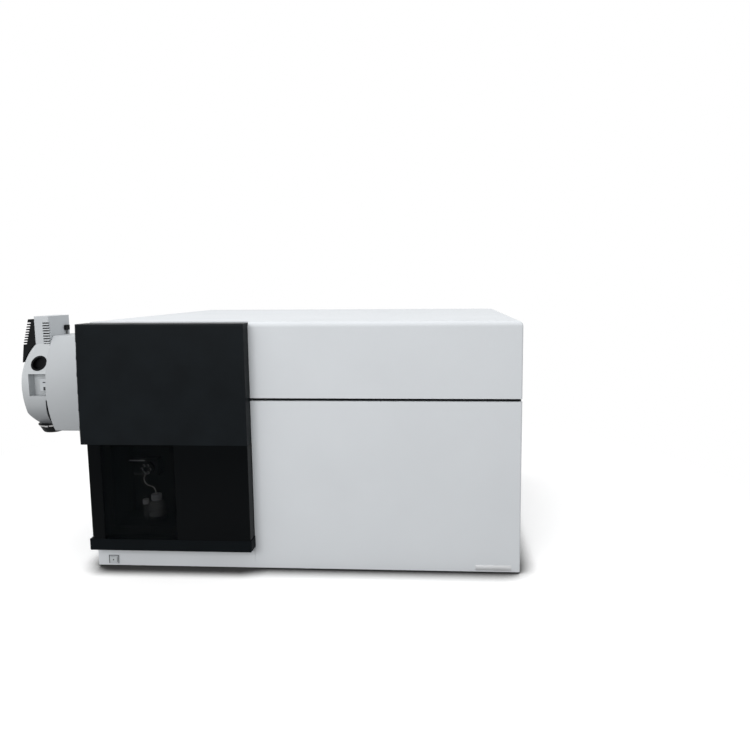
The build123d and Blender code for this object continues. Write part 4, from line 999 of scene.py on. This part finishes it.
BAND_HEIGHT = 0.0035
BAND_SHEET = 0.0009
BAND_LOW = 0.3045
CUP_LOW_Z = 0.2885
CUP_LOW_RADIUS = 0.022
CUP_FLARE = 0.007 / 0.0215
CUP_LEAN = -0.0055 / 0.0215
CUP_LOW_PLACE = (-0.5315, -0.2555)
BARREL_RADIUS = 0.0022
BARREL_LENGTH = 0.008

band_radius = CUP_LOW_RADIUS + CUP_FLARE * (BAND_LOW - CUP_LOW_Z) + 0.0002
rise = CUP_FLARE * BAND_HEIGHT
bm = bmesh.new()
add_turned(bm, [
    (band_radius, 0), (band_radius + BAND_SHEET, 0), (band_radius + rise + BAND_SHEET, BAND_HEIGHT),
    (band_radius + rise, BAND_HEIGHT), (band_radius, 0),
], (0, 0, 0), (0, 0, 1), 72)
for vertex in bm.verts:
    vertex.co.x += CUP_LEAN * vertex.co.z
band_x = CUP_LOW_PLACE[0] + CUP_LEAN * (BAND_LOW - CUP_LOW_Z)
bmesh.ops.translate(bm, verts=bm.verts, vec=(band_x, CUP_LOW_PLACE[1], BAND_LOW))
barrel_y = CUP_LOW_PLACE[1] - band_radius - rise - BARREL_RADIUS
barrel_z = BAND_LOW + BAND_HEIGHT / 2
add_turned(bm, [(0, 0), (BARREL_RADIUS, 0), (BARREL_RADIUS, BARREL_LENGTH), (0, BARREL_LENGTH)],
           (band_x + 0.001, barrel_y, barrel_z), (1, 0, 0), 24)
clamp_steel, shader = new_finish("clamp_steel", (0.32, 0.32, 0.32), 0.35, metallic=1.0)
grained_gloss(clamp_steel, shader, 400.0, 0.28, 0.45)
seat("drain_clamp", finished("drain_clamp", bm, clamp_steel), "spray_chamber")

# ---- Heater connector's boot ----
# A strain relief of grey rubber, moulded as a stack of rings and pushed into the black connector
# from below.

BOOT_RINGS = 5
BOOT_RADIUS = 0.00245
BOOT_PITCH = 0.0018
BOOT_RING = 0.0011
BOOT_SINK = 0.0003

boot_rubber, shader = new_finish("grey_rubber", (0.2, 0.205, 0.21), 0.7, specular=0.3)
raise_surface(boot_rubber, shader, grained_gloss(boot_rubber, shader, 700.0, 0.62, 0.8), 0.00002)
low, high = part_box("heater_connector")
bm = bmesh.new()
neck = 0.92 * BOOT_RADIUS
add_turned(bm, [(0, 0), (neck, 0), (BOOT_RADIUS, BOOT_RING / 2), (neck, BOOT_RING), (0, BOOT_RING)],
           (0, 0, 0), (0, 0, 1), 24)
ring = pattern("boot_ring", finished("boot_ring", bm))
boot_places = [
    ((low.x + high.x) / 2, (low.y + high.y) / 2, low.z + BOOT_SINK + i * BOOT_PITCH)
    for i in range(BOOT_RINGS)
]
boot_mesh = grow("boot_rings", copies, boot_places, shape=ring, turn=0.0, seed=1, finish=boot_rubber)
seat("boot_rings", boot_mesh, "spray_chamber")

# ---- Studio ----
# A pale painted floor runs out into a white surround. One wide lamp hangs overhead, and one stands
# in front. A painted contact shadow darkens the floor close to what stands on it.

FLOOR_REACH = 8.0
FLOOR_TONE = 0.9
FLOOR_BOUNCE = 0.2
FLOOR_GLOW = 0.25
CONTACT_REACH = 0.06
CONTACT_SHADOW_DARK = 0.05
SURROUND_START = 0.75
SURROUND_STOP = 1.4
OPEN_FROM, OPEN_TO = 0.52, 0.95
LAMP_TARGET = (0.0, 0.0, 0.3)
OVERHEAD_WATTS = 24.0
FRONT_WATTS = 54.0
WORLD_LIGHT = 0.75


def seen_rays(owner):
    """1 where the surround is looked at, straight, in gloss or through glass, and 0 where it lights."""
    ray = add_node(owner, "ShaderNodeLightPath").outputs
    straight = reckon(owner, "MAXIMUM", ray["Is Camera Ray"], ray["Is Glossy Ray"])
    return reckon(owner, "MAXIMUM", straight, ray["Is Transmission Ray"])


mesh = bpy.data.meshes.new("floor")
mesh.from_pydata([
    (-FLOOR_REACH, -FLOOR_REACH, 0), (FLOOR_REACH, -FLOOR_REACH, 0), (FLOOR_REACH, FLOOR_REACH, 0),
    (-FLOOR_REACH, FLOOR_REACH, 0),
], [], [(0, 1, 2, 3)])
floor = bpy.data.objects.new("floor", mesh)
bpy.context.scene.collection.objects.link(floor)
floor_paint, shader = new_finish("floor_paint", (FLOOR_TONE,) * 3, 0.9, specular=0.0)
shader.inputs["Emission Color"].default_value = (1, 1, 1, 1)
away = add_node(floor_paint, "ShaderNodeVectorMath", {0: object_place(floor_paint)},
                operation="LENGTH").outputs["Value"]
surround = between(floor_paint, away, 0, 1, SURROUND_START, SURROUND_STOP)
seen = seen_rays(floor_paint)
tone = between(floor_paint, surround, FLOOR_TONE, 0.0, 0, 1)
glow = between(floor_paint, surround, FLOOR_GLOW, 1.0, 0, 1)
shown = between(floor_paint, seen, FLOOR_BOUNCE, tone, 0, 1)
# Painted contact shadow: ambient occlusion darkens the floor's colour and glow close to what stands on it.
open_air = add_node(floor_paint, "ShaderNodeAmbientOcclusion", {"Distance": CONTACT_REACH}).outputs["AO"]
contact = between(floor_paint, open_air, CONTACT_SHADOW_DARK, 1, OPEN_FROM, OPEN_TO)
feed(floor_paint, reckon(floor_paint, "MULTIPLY", shown, contact), shader, "Base Color")
glow = reckon(floor_paint, "MULTIPLY", glow, contact)
feed(floor_paint, reckon(floor_paint, "MULTIPLY", seen, glow), shader, "Emission Strength")
mesh.materials.append(floor_paint)


def soft_lamp(name, place, width, height, watts):
    """A soft rectangular lamp that faces the object."""
    lamp = bpy.data.lights.new(name, "AREA")
    lamp.shape = "RECTANGLE"
    lamp.size = width
    lamp.size_y = height
    lamp.energy = watts
    holder = bpy.data.objects.new(name, lamp)
    holder.location = place
    holder.rotation_euler = (Vector(LAMP_TARGET) - Vector(place)).to_track_quat("-Z", "Y").to_euler()
    bpy.context.scene.collection.objects.link(holder)


soft_lamp("overhead_lamp", (0.0, -0.3, 2.6), 3.0, 2.4, OVERHEAD_WATTS)
soft_lamp("front_lamp", (-0.6, -3.4, 1.5), 2.6, 1.6, FRONT_WATTS)

world = bpy.data.worlds.new("studio_world")
world.use_nodes = True
background = world.node_tree.nodes["Background"]
background.inputs["Color"].default_value = (1, 1, 1, 1)
feed(world, between(world, seen_rays(world), WORLD_LIGHT, 1.0, 0, 1), background, "Strength")
bpy.context.scene.world = world

# ---- Camera ----
# It stands in front, right of the middle and a little above the cover's top, and looks slightly
# down and left.

CAMERA_PLACE = (0.413, -1.6895, 0.632)
CAMERA_YAW = 3.18
CAMERA_PITCH = -6.44
CAMERA_ROLL = -0.38
CAMERA_LENS = 29.664
CAMERA_SHIFT = (-0.0427, -0.024)

camera = bpy.data.objects.new("camera", bpy.data.cameras.new("camera"))
camera.matrix_world = (
    Matrix.Translation(CAMERA_PLACE)
    @ Matrix.Rotation(radians(CAMERA_YAW), 4, "Z")
    @ Matrix.Rotation(radians(90 + CAMERA_PITCH), 4, "X")
    @ Matrix.Rotation(radians(CAMERA_ROLL), 4, "Z")
)
camera.data.sensor_width = 36.0
camera.data.lens = CAMERA_LENS
camera.data.shift_x, camera.data.shift_y = CAMERA_SHIFT
camera.data.clip_end = 50.0
bpy.context.scene.collection.objects.link(camera)
bpy.context.scene.camera = camera
bpy.context.scene.view_settings.view_transform = "Standard"
